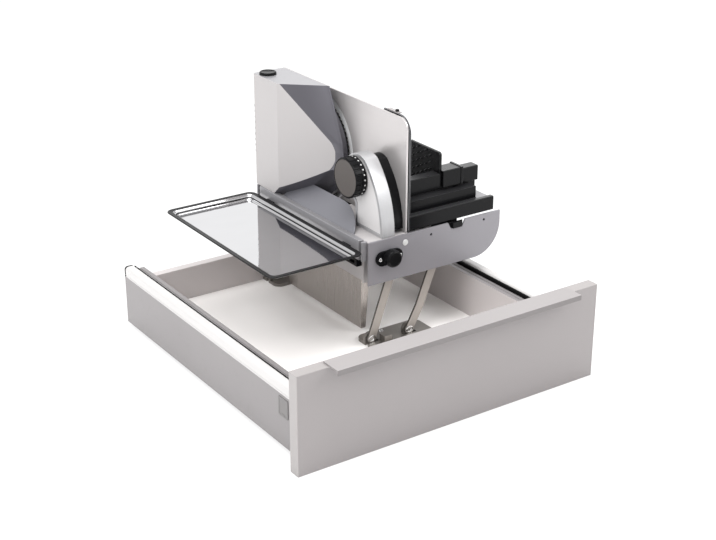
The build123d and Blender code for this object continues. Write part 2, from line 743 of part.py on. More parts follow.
def table():
    x0, x1, z0, z1, r = table_x0, table_x1, base_z0, base_z1, plate_corner_r
    bend = r * math.sqrt(0.5)
    edges = Polyline((x1 - r, z0), (x0, z0), (x0, z1), (x1, z1), (x1, z0 + r)).edges()
    edges += ThreePointArc((x1, z0 + r), (x1 - r + bend, z0 + r - bend), (x1 - r, z0)).edges()
    plate = front_solid(make_face(edges), slicer_y0, slicer_y0 + plate_t)
    plate -= along_y(hinge_x, slicer_y0 - 1, hinge_z, hinge_r + run_gap, 3 * plate_t)
    # The rear plate stands behind the blade, and is cut lower to pass the back of the drawer.
    rear_plate = Pos(0, rear_plate_y - slicer_y0, 0) * plate
    keep = slab(x0 + rear_inset, x1, rear_plate_y, rear_plate_y + plate_t, z0, z1 - top_t)
    nodes["side_plate_rear"] = rear_plate & keep
    foot_z = z1 - notch_h
    notch = outline((notch_x0, z1 + 1), (notch_x0 + notch_slope, foot_z), (notch_x1 - notch_slope, foot_z),
                    (notch_x1, z1 + 1))
    plate -= front_solid(notch, slicer_y0 - 1, slicer_y0 + plate_t + 1)
    for x, z in rivet_places:
        plate -= along_y(x, slicer_y0 - 1, z, rivet_r, 2 * plate_t)
    nodes["side_plate_front"] = plate

    side = slicer_y0 + plate_t
    narrow = cheek_y + pan_inset
    pan = slab(pan_x0, pan_wide_x + 1, narrow, 2 * mid_y - narrow, z0, z0 + pan_t)
    pan += slab(pan_wide_x, pan_x1, side, rear_plate_y, z0, z0 + pan_t)
    for x in track_xs:
        pan += slab(x, x + track_w, narrow, 2 * mid_y - narrow, z0 + pan_t, track_top)
    nodes["table_pan"] = pan

    seat = slicer_y0 - flange_t
    flange = Plane(origin=(hinge_x - flange_shift, slicer_y0, hinge_z), x_dir=(1, 0, 0), z_dir=(0, -1, 0))
    flange = extrude(flange * SlotOverall(flange_len, flange_w), amount=flange_t)
    boss = along_y(hinge_x - boss_shift, slicer_y0 - boss_out, hinge_z, boss_r, boss_out)
    boss = fillet(boss.edges().filter_by(GeomType.CIRCLE).sort_by(Axis.Y)[0], boss_round)
    rear_cap = along_y(hinge_x, rear_plate_y + plate_t, hinge_z, 2 * hinge_r, rear_cap_t)
    nodes["hinge_flanges"] = Compound(children=[flange + boss, rear_cap])
    stud = along_y(hinge_x + stud_x, slicer_y0 - stud_t, hinge_z + stud_z, stud_r, stud_t)
    screws = [along_y(hinge_x + x, seat - stud_t, hinge_z, flange_screw_r, stud_t) for x in flange_screw_xs]
    nodes["flange_screws"] = Compound(children=screws + [stud])

    latch_z = z1 - latch_top
    latch = slab(notch_x0 + latch_inset, notch_x1 - latch_inset, side, clear_y - rest_gap, z1 - latch_deep, latch_z)
    latch += slab(notch_x0 + tongue_inset, notch_x1 - tongue_inset, slicer_y0 - tongue_out, side,
                  foot_z + rest_gap, latch_z)
    nodes["frame_latch"] = latch


def carriage():
    runner_y = cheek_y + runner_shift
    runner_top_z = runner_z + runner_h
    tie_low, tie_top = runner_z + tie_gap, runner_top_z - tie_gap
    rails = []
    for y in (runner_y + tie_inset, runner_y + runner_len - tie_inset - tie_w):
        rails.append(slab(track_xs[0] + track_w, track_xs[1], y, y + tie_w, tie_low, tie_top))
    for x in track_xs:
        rails.append(slab(x, x + track_w, runner_y, runner_y + runner_len, runner_z, runner_top_z))
    nodes["carriage_rails"] = rails[0] + rails[1] + rails[2] + rails[3]

    floor = bed_z + bed_t
    beam_back, rail_back = clear_y + beam_w, rail_y + rail_deep
    bed = slab(bed_x0, bed_x1, clear_y, clear_y + bed_len, bed_z, floor)
    beam = slab(bed_x0, bed_x1, clear_y, beam_back, bed_z, bed_z + beam_h)
    bed += fillet(beam.edges().filter_by(Axis.X).group_by(Axis.Z)[-1], soft_r)
    bed += slab(bed_x0, step_x1, beam_back, rail_back, floor, bed_z + beam_h - soft_r)
    bed += slab(step_x1, bed_x1 - 1, beam_back, rail_back, floor, bed_z + beam_h - end_block_gap)
    bed += slab(bed_x0 + bed_step, step_x1, step_y, rail_back, floor, step_top)
    bed += slab(bed_x0 + bed_step, rail_x1 - bed_step, rail_y + bed_step, rail_back, floor, rail_low)
    for x in track_xs:
        bed += slab(x, x + track_w, foot_y, foot_y + foot_len, runner_top_z + rest_gap, bed_z)
    nodes["carriage_base"] = bed
    rail = slab(bed_x0 + bed_step, rail_x1, rail_y, rail_back, rail_low, push_rail_top)
    nodes["pusher_rail"] = fillet(rail.edges().filter_by(Axis.X).group_by(Axis.Z)[-1], soft_r)

    front, back, top = clear_y + hand_front, clear_y + hand_plate_len, fence_low + hand_plate_h
    low_corner, high_corner = (front, top - hand_corner[1]), (front + hand_corner[0], top)
    edges = Polyline((front, fence_low), low_corner).edges()
    edges += ThreePointArc(low_corner, (front + hand_bulge[0], top - hand_bulge[1]), high_corner).edges()
    edges += Polyline(high_corner, (back, top), (back, fence_low), (front, fence_low)).edges()
    guard_x = bed_x0 - hand_plate_t
    nodes["finger_guard"] = side_solid(make_face(edges), guard_x, bed_x0)
    nodes["guard_clip"] = slab(guard_x, bed_x0 + clip_out, clip_y, clip_y + clip_len, top, top + clip_h)

    # The pusher's sleeve runs on the rail, and its plate carries the points.
    y0, y1, z1 = rail_y - rest_gap, rail_back + rest_gap, push_rail_top + rest_gap
    near, far, collar_x = rail_y - sleeve_wall, y1 + sleeve_wall, sleeve_x + sleeve_w
    sleeve = slab(sleeve_x, collar_x, near, far, rail_low + 2 * collar_out, z1 + sleeve_wall)
    sleeve = fillet(sleeve.edges().filter_by(Axis.X).group_by(Axis.Z)[-1], soft_r)
    sleeve += slab(collar_x, collar_x + collar_w, near - collar_out, far + collar_out, rail_low + collar_out,
                   z1 + sleeve_wall + collar_out)
    sleeve -= slab(sleeve_x - 1, collar_x + collar_w + 1, y0, y1, 0, z1)
    nodes["pusher_sleeve"] = sleeve
    edge_y, face_x = rail_y + 1, sleeve_x - pusher_t
    plate = side_solid(outline((y1, pusher_z0), (pusher_y1, pusher_z0), (pusher_y1, pusher_z1),
                               (edge_y, pusher_z1), (edge_y, z1), (y1, z1)), face_x, sleeve_x)
    for row in range(point_rows):
        for column in range(point_columns):
            y = y1 + point_inset[0] + column * point_pitch
            z = pusher_z0 + point_inset[1] + (row + (column % 2) / 2) * point_pitch
            plate += Pos(face_x - point_h / 2, y, z) * Rot(0, -90, 0) * Cone(point_r, point_tip, point_h)
    nodes["pusher_plate"] = plate


def tray():
    centre = (tray_x0 + tray_w / 2, tray_y0 + tray_len / 2)
    rim = RectangleRounded(tray_w, tray_len, tray_round)
    well = RectangleRounded(tray_w - 2 * tray_rim, tray_len - 2 * tray_rim, tray_round)
    inside = RectangleRounded(tray_w - 2 * (tray_rim + tray_t), tray_len - 2 * (tray_rim + tray_t),
                              tray_round - tray_t)
    top = tray_z + tray_h
    dish = Pos(*centre, top - tray_t) * extrude(rim, amount=tray_t)
    dish += Pos(*centre, tray_z) * extrude(well, amount=tray_h)
    dish -= Pos(*centre, tray_z + tray_t) * extrude(inside, amount=tray_h)
    nodes["tray"] = dish
    hooks = []
    hook_x1 = rim_x0 - rest_gap
    for y in (tray_y0 + hook_in, tray_y0 + tray_len - hook_in - hook_w):
        hooks.append(slab(hook_x1 - hook_t, hook_x1, y, y + hook_w, tray_z - hook_drop, top - tray_t))
    nodes["tray_hooks"] = Compound(children=hooks)


drawer()
brackets()
arms()
base()
tower()
drive()
thickness()
table()
carriage()
tray()

os.makedirs("parts", exist_ok=True)
for name, shape in nodes.items():
    export_step(Pos(-origin_x, -origin_y, 0) * shape, f"parts/{name}.step")
print(len(nodes), "nodes")
places = {
    "lift foot": (lift_foot_x, mid_y, pivot_z), "lift top": (lift_top[0], mid_y, lift_top[1]),
    "guide foot": (guide_foot_x, mid_y, pivot_z), "hinge": (hinge_x, mid_y, hinge_z),
    "dial": (arch_x0, dial_y, dial_z), "blade": (blade_x, blade_y, blade_z),
    "drive": (drive_x, drive_y, worm_z), "tray hinge": (table_x0, mid_y, base_z1),
    "button": (button_x, button_y, tower_top), "pusher": (sleeve_x, rail_y, rail_low)}
for label, (x, y, z) in places.items():
    print(label, round(x - origin_x, 3), round(y - origin_y, 3), round(z, 3))
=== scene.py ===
import json
import math

import bmesh
import bpy
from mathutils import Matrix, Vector

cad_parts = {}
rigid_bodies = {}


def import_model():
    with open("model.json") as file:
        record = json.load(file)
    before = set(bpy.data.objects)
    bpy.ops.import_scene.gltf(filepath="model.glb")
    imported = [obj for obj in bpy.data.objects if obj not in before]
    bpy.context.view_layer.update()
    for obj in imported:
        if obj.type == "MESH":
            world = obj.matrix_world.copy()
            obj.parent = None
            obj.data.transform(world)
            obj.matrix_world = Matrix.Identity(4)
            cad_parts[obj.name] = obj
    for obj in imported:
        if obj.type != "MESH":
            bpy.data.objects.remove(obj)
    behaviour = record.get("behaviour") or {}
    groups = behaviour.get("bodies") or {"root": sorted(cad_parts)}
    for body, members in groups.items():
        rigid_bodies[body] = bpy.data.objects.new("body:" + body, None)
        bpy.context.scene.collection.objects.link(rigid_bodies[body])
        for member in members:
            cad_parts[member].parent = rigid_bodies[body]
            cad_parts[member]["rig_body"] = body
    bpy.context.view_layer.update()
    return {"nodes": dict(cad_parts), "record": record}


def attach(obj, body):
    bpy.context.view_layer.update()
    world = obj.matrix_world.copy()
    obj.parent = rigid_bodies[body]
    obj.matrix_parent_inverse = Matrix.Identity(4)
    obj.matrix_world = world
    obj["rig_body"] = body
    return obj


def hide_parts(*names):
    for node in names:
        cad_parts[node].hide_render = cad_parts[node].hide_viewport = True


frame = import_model()
slotOf = {row["node"]: row["material_slot"] for row in frame["record"]["subparts"]}
print("frame loaded:", len(frame["nodes"]), "nodes")


# sizes and places are in millimetres from the lower left corner of the drawer's front
drawer = {"width": 497, "back": 508, "middle": (248.5, 235.5)}
bladeAxis = {"y": 415, "z": 263}  # shared by the knife, its guard and the rings ground into its steel


# a place of the drawer's in the frame's metres
def at(x, y, z):
    return Vector(((x - drawer["middle"][0]) / 1000, (y - drawer["middle"][1]) / 1000, z / 1000))


class Wire:
    # one output of a node; sums on it add Math nodes
    def __init__(self, finish, socket):
        self.finish = finish
        self.socket = socket

    def sum(self, operation, first, second):
        return self.finish.put("ShaderNodeMath", {"operation": operation}, {0: first, 1: second})

    def __add__(self, other):
        return self.sum("ADD", self, other)

    def __radd__(self, other):
        return self.sum("ADD", other, self)

    def __sub__(self, other):
        return self.sum("SUBTRACT", self, other)

    def __rsub__(self, other):
        return self.sum("SUBTRACT", other, self)

    def __mul__(self, other):
        return self.sum("MULTIPLY", self, other)

    def __rmul__(self, other):
        return self.sum("MULTIPLY", other, self)


class Finish:
    # a material made node by node
    def __init__(self, name, plain):
        self.material = bpy.data.materials.new(name)
        self.material.use_nodes = True
        self.tree = self.material.node_tree
        self.shader = self.tree.nodes["Principled BSDF"]
        for key, value in plain.items():
            self.shader.inputs[key].default_value = value

    def put(self, kind, settings, values, output=0):
        node = self.tree.nodes.new(kind)
        for key, value in settings.items():
            if key == "stops":
                node.color_ramp.elements[0].position, node.color_ramp.elements[1].position = value
            else:
                setattr(node, key, value)
        for key, value in values.items():
            if isinstance(value, Wire):
                self.tree.links.new(value.socket, node.inputs[key])
            else:
                node.inputs[key].default_value = value
        return Wire(self, node.outputs[output])

    def place(self, stretch, shift):
        where = self.put("ShaderNodeTexCoord", {}, {}, "Object")
        return self.put("ShaderNodeMapping", {}, {"Vector": where, "Scale": stretch, "Location": shift})

    # noise from 0 to 1; stretch is how fast it changes along X, Y and Z, in waves per metre
    def noise(self, stretch, detail, shift=(0, 0, 0)):
        return self.put("ShaderNodeTexNoise", {},
                        {"Vector": self.place(stretch, shift), "Scale": 1, "Detail": detail})

    # noise narrowed to a mask between two levels
    def mask(self, stretch, low, high, detail):
        return self.put("ShaderNodeValToRGB", {"stops": (low, high)}, {"Fac": self.noise(stretch, detail)})

    def mix(self, first, second, factor):
        return self.put("ShaderNodeMix", {"data_type": "RGBA"}, {0: factor, 6: first, 7: second}, 2)

    def bump(self, height, depth):
        return self.put("ShaderNodeBump", {}, {"Height": height, "Strength": 1, "Distance": depth})

    def feed(self, links):
        for key, wire in links.items():
            self.tree.links.new(wire.socket, self.shader.inputs[key])


# a colour for a node, lighter or darker by a level
def rgba(colour, level=1.0):
    return tuple(min(1.0, c * level) for c in colour) + (1,)


# sprayed or coated sheet: fine orange peel and flecks, soft clouds of tone and a little dust
def painted(name, colour, look):
    finish = Finish(name, {"Metallic": look.get("metal", 0.0), "Specular IOR Level": 0.5,
                           "Coat Weight": look.get("coat", 0.0), "Coat Roughness": 0.18})
    peel = finish.noise((look["grain"],) * 3, 2)
    cloud = finish.noise((7, 7, 7), 2)
    dust = finish.mask((90, 90, 90), 0.58, 0.74, 4)
    tone = finish.mix(rgba(colour), rgba(colour, 1 - look["cloud"]), cloud)
    fleck = finish.noise((2600, 2600, 2600), 1)
    tone = finish.mix(tone, rgba(colour, 1 + look["fleck"]), fleck * look["fleck"] * 2)
    rough = look["rough"] + (cloud - 0.5) * 0.1 + dust * 0.05
    skin = finish.bump(peel + fleck * 0.4, look["peel"])
    finish.feed({"Base Color": tone, "Roughness": rough, "Normal": skin})
    return finish


# drawn metal: fine lines along one axis in broader bands, with slow changes of sheen
def brushed(name, colour, look):
    finish = Finish(name, {"Metallic": look.get("metal", 1.0), "Specular IOR Level": 0.4})
    fast, slow = look["lines"], look.get("along", 6)
    stretch = tuple(slow if axis == look["axis"] else fast for axis in "XYZ")
    lines = finish.noise(stretch, 2)
    broad = finish.noise(tuple(s / 9 for s in stretch), 2, (3, 1, 2))
    smudge = finish.noise((14, 14, 14), 3, (5, 2, 8))
    grain = lines * 0.6 + broad * 0.4
    tone = finish.mix(rgba(colour, 1 - look["depth"]), rgba(colour, 1 + look["depth"]), grain)
    rough = look["rough"] + (lines - 0.5) * 0.16 + (smudge - 0.5) * 0.12
    finish.feed({"Base Color": tone, "Roughness": rough, "Normal": finish.bump(lines, look["cut"])})
    return finish


# moulded plastic: fine spark-eroded grain, duller patches where hands go, and a little dust
def moulded(name, colour, look):
    finish = Finish(name, {"Specular IOR Level": look.get("specular", 0.5)})
    grain = finish.noise((look["grain"],) * 3, 3)
    patch = finish.noise((18, 18, 18), 2)
    dust = finish.mask((160, 160, 160), 0.6, 0.78, 4)
    tone = finish.mix(rgba(colour), rgba(colour, 1 + look["worn"]), patch)
    tone = finish.mix(tone, (0.5, 0.49, 0.47, 1), dust * look.get("dust", 0.012))
    rough = look["rough"] + (patch - 0.5) * 0.14 + (grain - 0.5) * 0.08
    finish.feed({"Base Color": tone, "Roughness": rough, "Normal": finish.bump(grain, look["relief"])})
    return finish


# polished steel: hairline scratches in two directions and faint wiping marks
def polished(name, colour, look):
    finish = Finish(name, {"Metallic": 1.0})
    hair = finish.mask((40, 1500, 1500), 0.6, 0.68, 2) + finish.mask((1500, 40, 1500), 0.62, 0.7, 2)
    wipe = finish.noise((11, 26, 18), 3)
    tone = finish.mix(rgba(colour), rgba(colour, 0.93), wipe)
    rough = look["rough"] + (wipe - 0.4) * look["wipe"] + hair * 0.03
    finish.feed({"Base Color": tone, "Roughness": rough, "Normal": finish.bump(hair, look["scratch"])})
    return finish


# laminated board: a dry even tone with faint fibres under the film
def laminate(name, colour, look):
    finish = Finish(name, {"Specular IOR Level": 0.25})
    fibre = finish.noise((18, 420, 420), 3)
    film = finish.noise((1400, 1400, 1400), 2)
    patch = finish.noise((3, 3, 3), 2)
    tone = finish.mix(rgba(colour), rgba(colour, 0.965), fibre * 0.5 + patch * 0.5)
    finish.feed({"Base Color": tone, "Roughness": look["rough"] + (patch - 0.5) * 0.1 + (film - 0.5) * 0.06,
                 "Normal": finish.bump(film, look["relief"])})
    return finish


# blade steel, ground in rings round its own axis
def ground(name, colour, look):
    finish = Finish(name, {"Metallic": look["metal"]})
    where = finish.put("ShaderNodeTexCoord", {}, {}, "Object")
    centre = at(0, bladeAxis["y"], bladeAxis["z"])
    fromAxis = finish.put("ShaderNodeVectorMath", {"operation": "SUBTRACT"},
                          {0: where, 1: (0, centre.y, centre.z)})
    flat = finish.put("ShaderNodeVectorMath", {"operation": "MULTIPLY"}, {0: fromAxis, 1: (0, 1, 1)})
    radius = finish.put("ShaderNodeVectorMath", {"operation": "LENGTH"}, {0: flat}, "Value")
    rings = finish.put("ShaderNodeTexNoise", {"noise_dimensions": "1D"},
                       {"W": radius, "Scale": look["rings"], "Detail": 3})
    smear = finish.noise((30, 30, 30), 3)
    tone = finish.mix(rgba(colour, 0.94), rgba(colour, 1.04), rings)
    finish.feed({"Base Color": tone, "Roughness": look["rough"] + (rings - 0.5) * 0.12 + (smear - 0.5) * 0.06,
                 "Normal": finish.bump(rings, look["cut"])})
    return finish


# one finish for each material slot of the part
finishes = {
    "front_paint": painted("frontPaint", (0.234, 0.217, 0.217), {
        "grain": 900, "cloud": 0.03, "fleck": 0.02, "rough": 0.42, "peel": 0.00004}),
    "trim_aluminium": brushed("gripAluminium", (0.31, 0.293, 0.293), {
        "axis": "X", "lines": 2600, "depth": 0.03, "rough": 0.5, "cut": 0.000008, "metal": 0.35}),
    "wall_paint": painted("wallPaint", (0.189, 0.177, 0.179), {
        "grain": 1100, "cloud": 0.04, "fleck": 0.03, "rough": 0.38, "peel": 0.00003, "metal": 0.15}),
    "rail_white": moulded("railWhite", (0.46, 0.45, 0.445), {
        "grain": 1500, "worn": 0.02, "rough": 0.22, "relief": 0.00001, "dust": 0.0}),
    "floor_board": laminate("floorBoard", (0.94, 0.915, 0.895), {"rough": 0.42, "relief": 0.00003}),
    "cap_grey": moulded("capGrey", (0.13, 0.123, 0.122), {
        "grain": 1600, "worn": 0.06, "rough": 0.45, "relief": 0.00003}),
    "linkage_steel": brushed("linkageSteel", (0.327, 0.3, 0.277), {
        "axis": "Z", "lines": 900, "along": 30, "depth": 0.07, "rough": 0.42, "cut": 0.00001, "metal": 0.45}),
    "bright_steel": polished("brightSteel", (0.80, 0.80, 0.80), {
        "rough": 0.16, "wipe": 0.1, "scratch": 0.000004}),
    "silver_paint": painted("silverPaint", (0.37, 0.354, 0.354), {
        "grain": 1000, "cloud": 0.03, "fleck": 0.10, "rough": 0.46, "peel": 0.00002,
        "metal": 0.12, "coat": 0.05}),
    "chute_grey": painted("chuteGrey", (0.158, 0.158, 0.176), {
        "grain": 1000, "cloud": 0.03, "fleck": 0.06, "rough": 0.34, "peel": 0.00002,
        "metal": 0.4, "coat": 0.15}),
    "arch_aluminium": brushed("archAluminium", (0.445, 0.445, 0.454), {
        "axis": "Z", "lines": 1500, "along": 60, "depth": 0.14, "rough": 0.42, "cut": 0.00001, "metal": 0.7}),
    "fence_steel": brushed("fenceSteel", (0.468, 0.449, 0.447), {
        "axis": "Y", "lines": 2400, "along": 10, "depth": 0.02, "rough": 0.34, "cut": 0.000003,
        "metal": 0.6}),
    "black_plastic": moulded("blackPlastic", (0.004, 0.004, 0.0045), {
        "grain": 1900, "worn": 0.4, "rough": 0.2, "relief": 0.00001, "specular": 0.1, "dust": 0.0}),
    "knob_grey": moulded("knobGrey", (0.065, 0.057, 0.053), {
        "grain": 2200, "worn": 0.1, "rough": 0.5, "relief": 0.00004, "specular": 0.3}),
    "motor_paint": painted("motorPaint", (0.30, 0.30, 0.31), {
        "grain": 500, "cloud": 0.1, "fleck": 0.05, "rough": 0.5, "peel": 0.00006}),
    "bearing_brass": brushed("bearingBrass", (0.72, 0.56, 0.27), {
        "axis": "X", "lines": 1200, "depth": 0.08, "rough": 0.34, "cut": 0.00001}),
    "tray_mirror": polished("trayMirror", (0.55, 0.55, 0.56), {
        "rough": 0.025, "wipe": 0.02, "scratch": 0.000001}),
}
# finishes of single faces and pieces that differ from their slot; several are darker or lighter copies of a
# slot's finish that paint light or shade
finishes.update({
    # a lighter copy of the front's paint for the edge bands: painted highlight along the board's edges
    "edgeBandPaintedHighlight": painted("edgeBandPaintedHighlight", (0.27, 0.253, 0.25), {
        "grain": 1200, "cloud": 0.02, "fleck": 0.02, "rough": 0.34, "peel": 0.00002}),
    # a darker copy of the grip's aluminium for its forward-facing nose face: painted shade
    "gripNosePaintedShade": brushed("gripNosePaintedShade", (0.167, 0.156, 0.156), {
        "axis": "X", "lines": 2600, "depth": 0.04, "rough": 0.5, "cut": 0.000008, "metal": 0.3}),
    # a lighter copy of the wall paint for the walls' inner faces and the back panel: painted light, as the
    # drawer's inside gets less light than its outside
    "wallInner": painted("wallInner", (0.495, 0.461, 0.456), {
        "grain": 1100, "cloud": 0.04, "fleck": 0.03, "rough": 0.42, "peel": 0.00003, "metal": 0.15}),
    # a near-black for the arms' left-facing sides: painted shade
    "armEdge": moulded("armEdge", (0.05, 0.045, 0.04), {
        "grain": 1200, "worn": 0.2, "rough": 0.45, "relief": 0.00002}),
    "bracketSteel": brushed("bracketSteel", (0.20, 0.185, 0.17), {
        "axis": "X", "lines": 900, "along": 30, "depth": 0.1, "rough": 0.34, "cut": 0.00001, "metal": 0.7}),
    "apronSteel": brushed("apronSteel", (0.38, 0.353, 0.334), {
        "axis": "Z", "lines": 1400, "along": 8, "depth": 0.04, "rough": 0.30, "cut": 0.000006,
        "metal": 0.85}),
    "rimBar": painted("rimBar", (0.236, 0.232, 0.243), {
        "grain": 1000, "cloud": 0.02, "fleck": 0.06, "rough": 0.34, "peel": 0.00002,
        "metal": 0.35, "coat": 0.2}),
    # a dark copy of the silver paint for the tower's cut-away and right-facing sides, the gear plate's lower
    # and side faces and the guard ring: painted shade
    "noseGrey": painted("noseGrey", (0.083, 0.08, 0.093), {
        "grain": 1000, "cloud": 0.03, "fleck": 0.03, "rough": 0.3, "peel": 0.000008,
        "metal": 0.45, "coat": 0.15}),
    "archFace": painted("archFace", (0.617, 0.604, 0.604), {
        "grain": 1000, "cloud": 0.02, "fleck": 0.05, "rough": 0.4, "peel": 0.00002, "metal": 0.2}),
    "plateLilac": painted("plateLilac", (0.21, 0.203, 0.219), {
        "grain": 1100, "cloud": 0.03, "fleck": 0.10, "rough": 0.42, "peel": 0.00002,
        "metal": 0.25, "coat": 0.1}),
    # black for the seals and rail caps, and as painted shade: the strips in the grooves beside the rails and
    # in the tower's vent slots
    "seal": moulded("blackSealAndPaintedShade", (0.004, 0.004, 0.004), {
        "grain": 900, "worn": 0.3, "rough": 0.5, "relief": 0.00002, "specular": 0.08, "dust": 0.0}),
    # a lighter, glossier black for rolled edges and point tips: painted highlight
    "blackEdge": moulded("blackEdge", (0.10, 0.10, 0.106), {
        "grain": 1500, "worn": 0.5, "rough": 0.22, "relief": 0.00001, "specular": 0.6, "dust": 0.0}),
    # a lighter, glossier black for the carriage's upward faces: painted sheen
    "blackTop": moulded("blackTop", (0.014, 0.014, 0.015), {
        "grain": 1500, "worn": 0.4, "rough": 0.3, "relief": 0.00001, "specular": 0.5, "dust": 0.0}),
    "dotWhite": moulded("dotWhite", (0.502, 0.502, 0.494), {
        "grain": 2000, "worn": 0.05, "rough": 0.4, "relief": 0.00001}),
    # a near-black used as a painted reflection of dark things on the tray's rim and steps, and for the sunk
    # rivets
    "rimDark": moulded("rimDark", (0.006, 0.006, 0.0065), {
        "grain": 1400, "worn": 0.2, "rough": 0.3, "relief": 0.000005, "specular": 0.12, "dust": 0.0}),
    "bladeSteel": ground("bladeSteel", (0.74, 0.74, 0.745), {
        "rings": 1800, "rough": 0.3, "cut": 0.000004, "metal": 0.3}),
})
print("finishes:", len(finishes))


# an outline pulled straight between two places on the axis that it faces
def addPrism(shape, outline, plane, low, high):
    turn = {"front": lambda a, b, d: at(a, d, b), "side": lambda a, b, d: at(d, a, b), "top": at}[plane]
    rings = [[shape.verts.new(turn(a, b, d)) for a, b in outline] for d in (low, high)]
    count = len(outline)
    faces = [shape.faces.new(rings[0]), shape.faces.new(rings[1][::-1])]
    for i in range(count):
        j = (i + 1) % count
        faces.append(shape.faces.new((rings[0][j], rings[0][i], rings[1][i], rings[1][j])))
    return faces


# closed rings of points, each joined to the next
def addSkin(shape, rings, ends=(True, True)):
    rows = [[shape.verts.new(p) for p in ring] for ring in rings]
    count = len(rows[0])
    faces = []
    for near, far in zip(rows, rows[1:]):
        for i in range(count):
            j = (i + 1) % count
            faces.append(shape.faces.new((near[i], near[j], far[j], far[i])))
    if ends[0]:
        faces.append(shape.faces.new(rows[0][::-1]))
    if ends[1]:
        faces.append(shape.faces.new(rows[-1]))
    return faces


# a turned form: the profile holds (place along the axis, radius), and a wave may change the radius
def addTurned(shape, centre, axis, profile, steps, ends=(True, True), wave=None):
    rings = []
    for along, radius in profile:
        ring = []
        for i in range(steps):
            angle = 2 * math.pi * i / steps
            r = max(radius, 0.01) * (wave(angle, along, radius) if wave else 1)
            a, b = r * math.cos(angle), r * math.sin(angle)
            x, y, z = centre
            ring.append({"X": at(x + along, y + a, z + b), "Y": at(x + a, y + along, z + b),
                         "Z": at(x + a, y + b, z + along)}[axis])
        rings.append(ring)
    return addSkin(shape, rings, ends)


# a straight block between two places on each axis
def addBar(shape, x0, x1, y0, y1, z0, z1):
    addPrism(shape, [(x0, y0), (x1, y0), (x1, y1), (x0, y1)], "top", z0, z1)


# points on an arc, from one angle to another in degrees
def onArc(centre, radius, start, end, step):
    count = round(abs(end - start) / step)
    turns = [math.radians(start + (end - start) * i / count) for i in range(count + 1)]
    return [(centre[0] + radius * math.cos(t), centre[1] + radius * math.sin(t)) for t in turns]


# a rectangle with round corners
def roundedOutline(x0, x1, y0, y1, radius, steps=6):
    points = []
    for cx, cy, start in ((x1 - radius, y1 - radius, 0), (x0 + radius, y1 - radius, 90),
                          (x0 + radius, y0 + radius, 180), (x1 - radius, y0 + radius, 270)):
        points += onArc((cx, cy), radius, start, start + 90, 90 / steps)
    return points


# rolls every edge sharper than an angle; finish is the roll's own material, or -1 for its neighbours'
def soften(shape, width, segments=2, angle=28, finish=-1):
    edges = [e for e in shape.edges if len(e.link_faces) == 2 and e.calc_face_angle(0) > math.radians(angle)]
    bmesh.ops.bevel(shape, geom=edges, offset=width / 1000, offset_type="OFFSET", segments=segments,
                    profile=0.6, clamp_overlap=True, affect="EDGES", material=finish)


# turns a bmesh into a piece that rides on a body
def piece(name, shape, body, slot, finishNames=None, stands=(), smooth=35):
    bmesh.ops.remove_doubles(shape, verts=shape.verts, dist=1e-7)
    bmesh.ops.recalc_face_normals(shape, faces=shape.faces)
    mesh = bpy.data.meshes.new(name)
    shape.to_mesh(mesh)
    shape.free()
    for polygon in mesh.polygons:
        polygon.use_smooth = True
    mesh.set_sharp_from_angle(angle=math.radians(smooth))
    made = bpy.data.objects.new(name, mesh)
    bpy.context.scene.collection.objects.link(made)
    for key in finishNames or [slot]:
        mesh.materials.append(finishes[key].material)
    weighted = made.modifiers.new("evenNormals", "WEIGHTED_NORMAL")
    weighted.keep_sharp = True
    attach(made, body)
    if stands:
        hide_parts(*stands)


# a copy of a solid with rolled edges, in place of the sharp one; choose says which faces take the second
# finish, and without it the rolled edges do
def dressed(node, width, finishNames=None, choose=None, segments=2):
    source = frame["nodes"][node]
    shape = bmesh.new()
    shape.from_mesh(source.data)
    bmesh.ops.remove_doubles(shape, verts=shape.verts, dist=2e-6)
    bmesh.ops.dissolve_limit(shape, angle_limit=math.radians(0.6), verts=shape.verts, edges=shape.edges)
    bmesh.ops.recalc_face_normals(shape, faces=shape.faces)
    for face in shape.faces:
        face.material_index = int(choose(face)) if choose else 0
    soften(shape, width, segments, finish=1 if finishNames and not choose and len(finishNames) > 1 else -1)
    words = node.split("_")
    name = words[0] + "".join(w.capitalize() for w in words[1:]) + "Skin"
    piece(name, shape, source["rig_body"], slotOf[node], finishNames, (node,))


def looksUp(face):
    return face.normal.z > 0.9


def looksDownOrAside(face):
    return face.normal.z < 0.5


def looksLeft(face):
    return face.normal.x < -0.5


def looksRight(face):
    return face.normal.x > 0.5


# the width of each solid's rolled edges, then its finishes where they aren't its slot's own, and the faces
# that take the second one
# the carriage's upward faces take the lighter black: painted sheen
blackAndPaintedTopSheen = ["black_plastic", "blackTop"]
# the arms' left-facing sides take the near-black: painted shade
armAndPaintedShade = ["linkage_steel", "armEdge"]
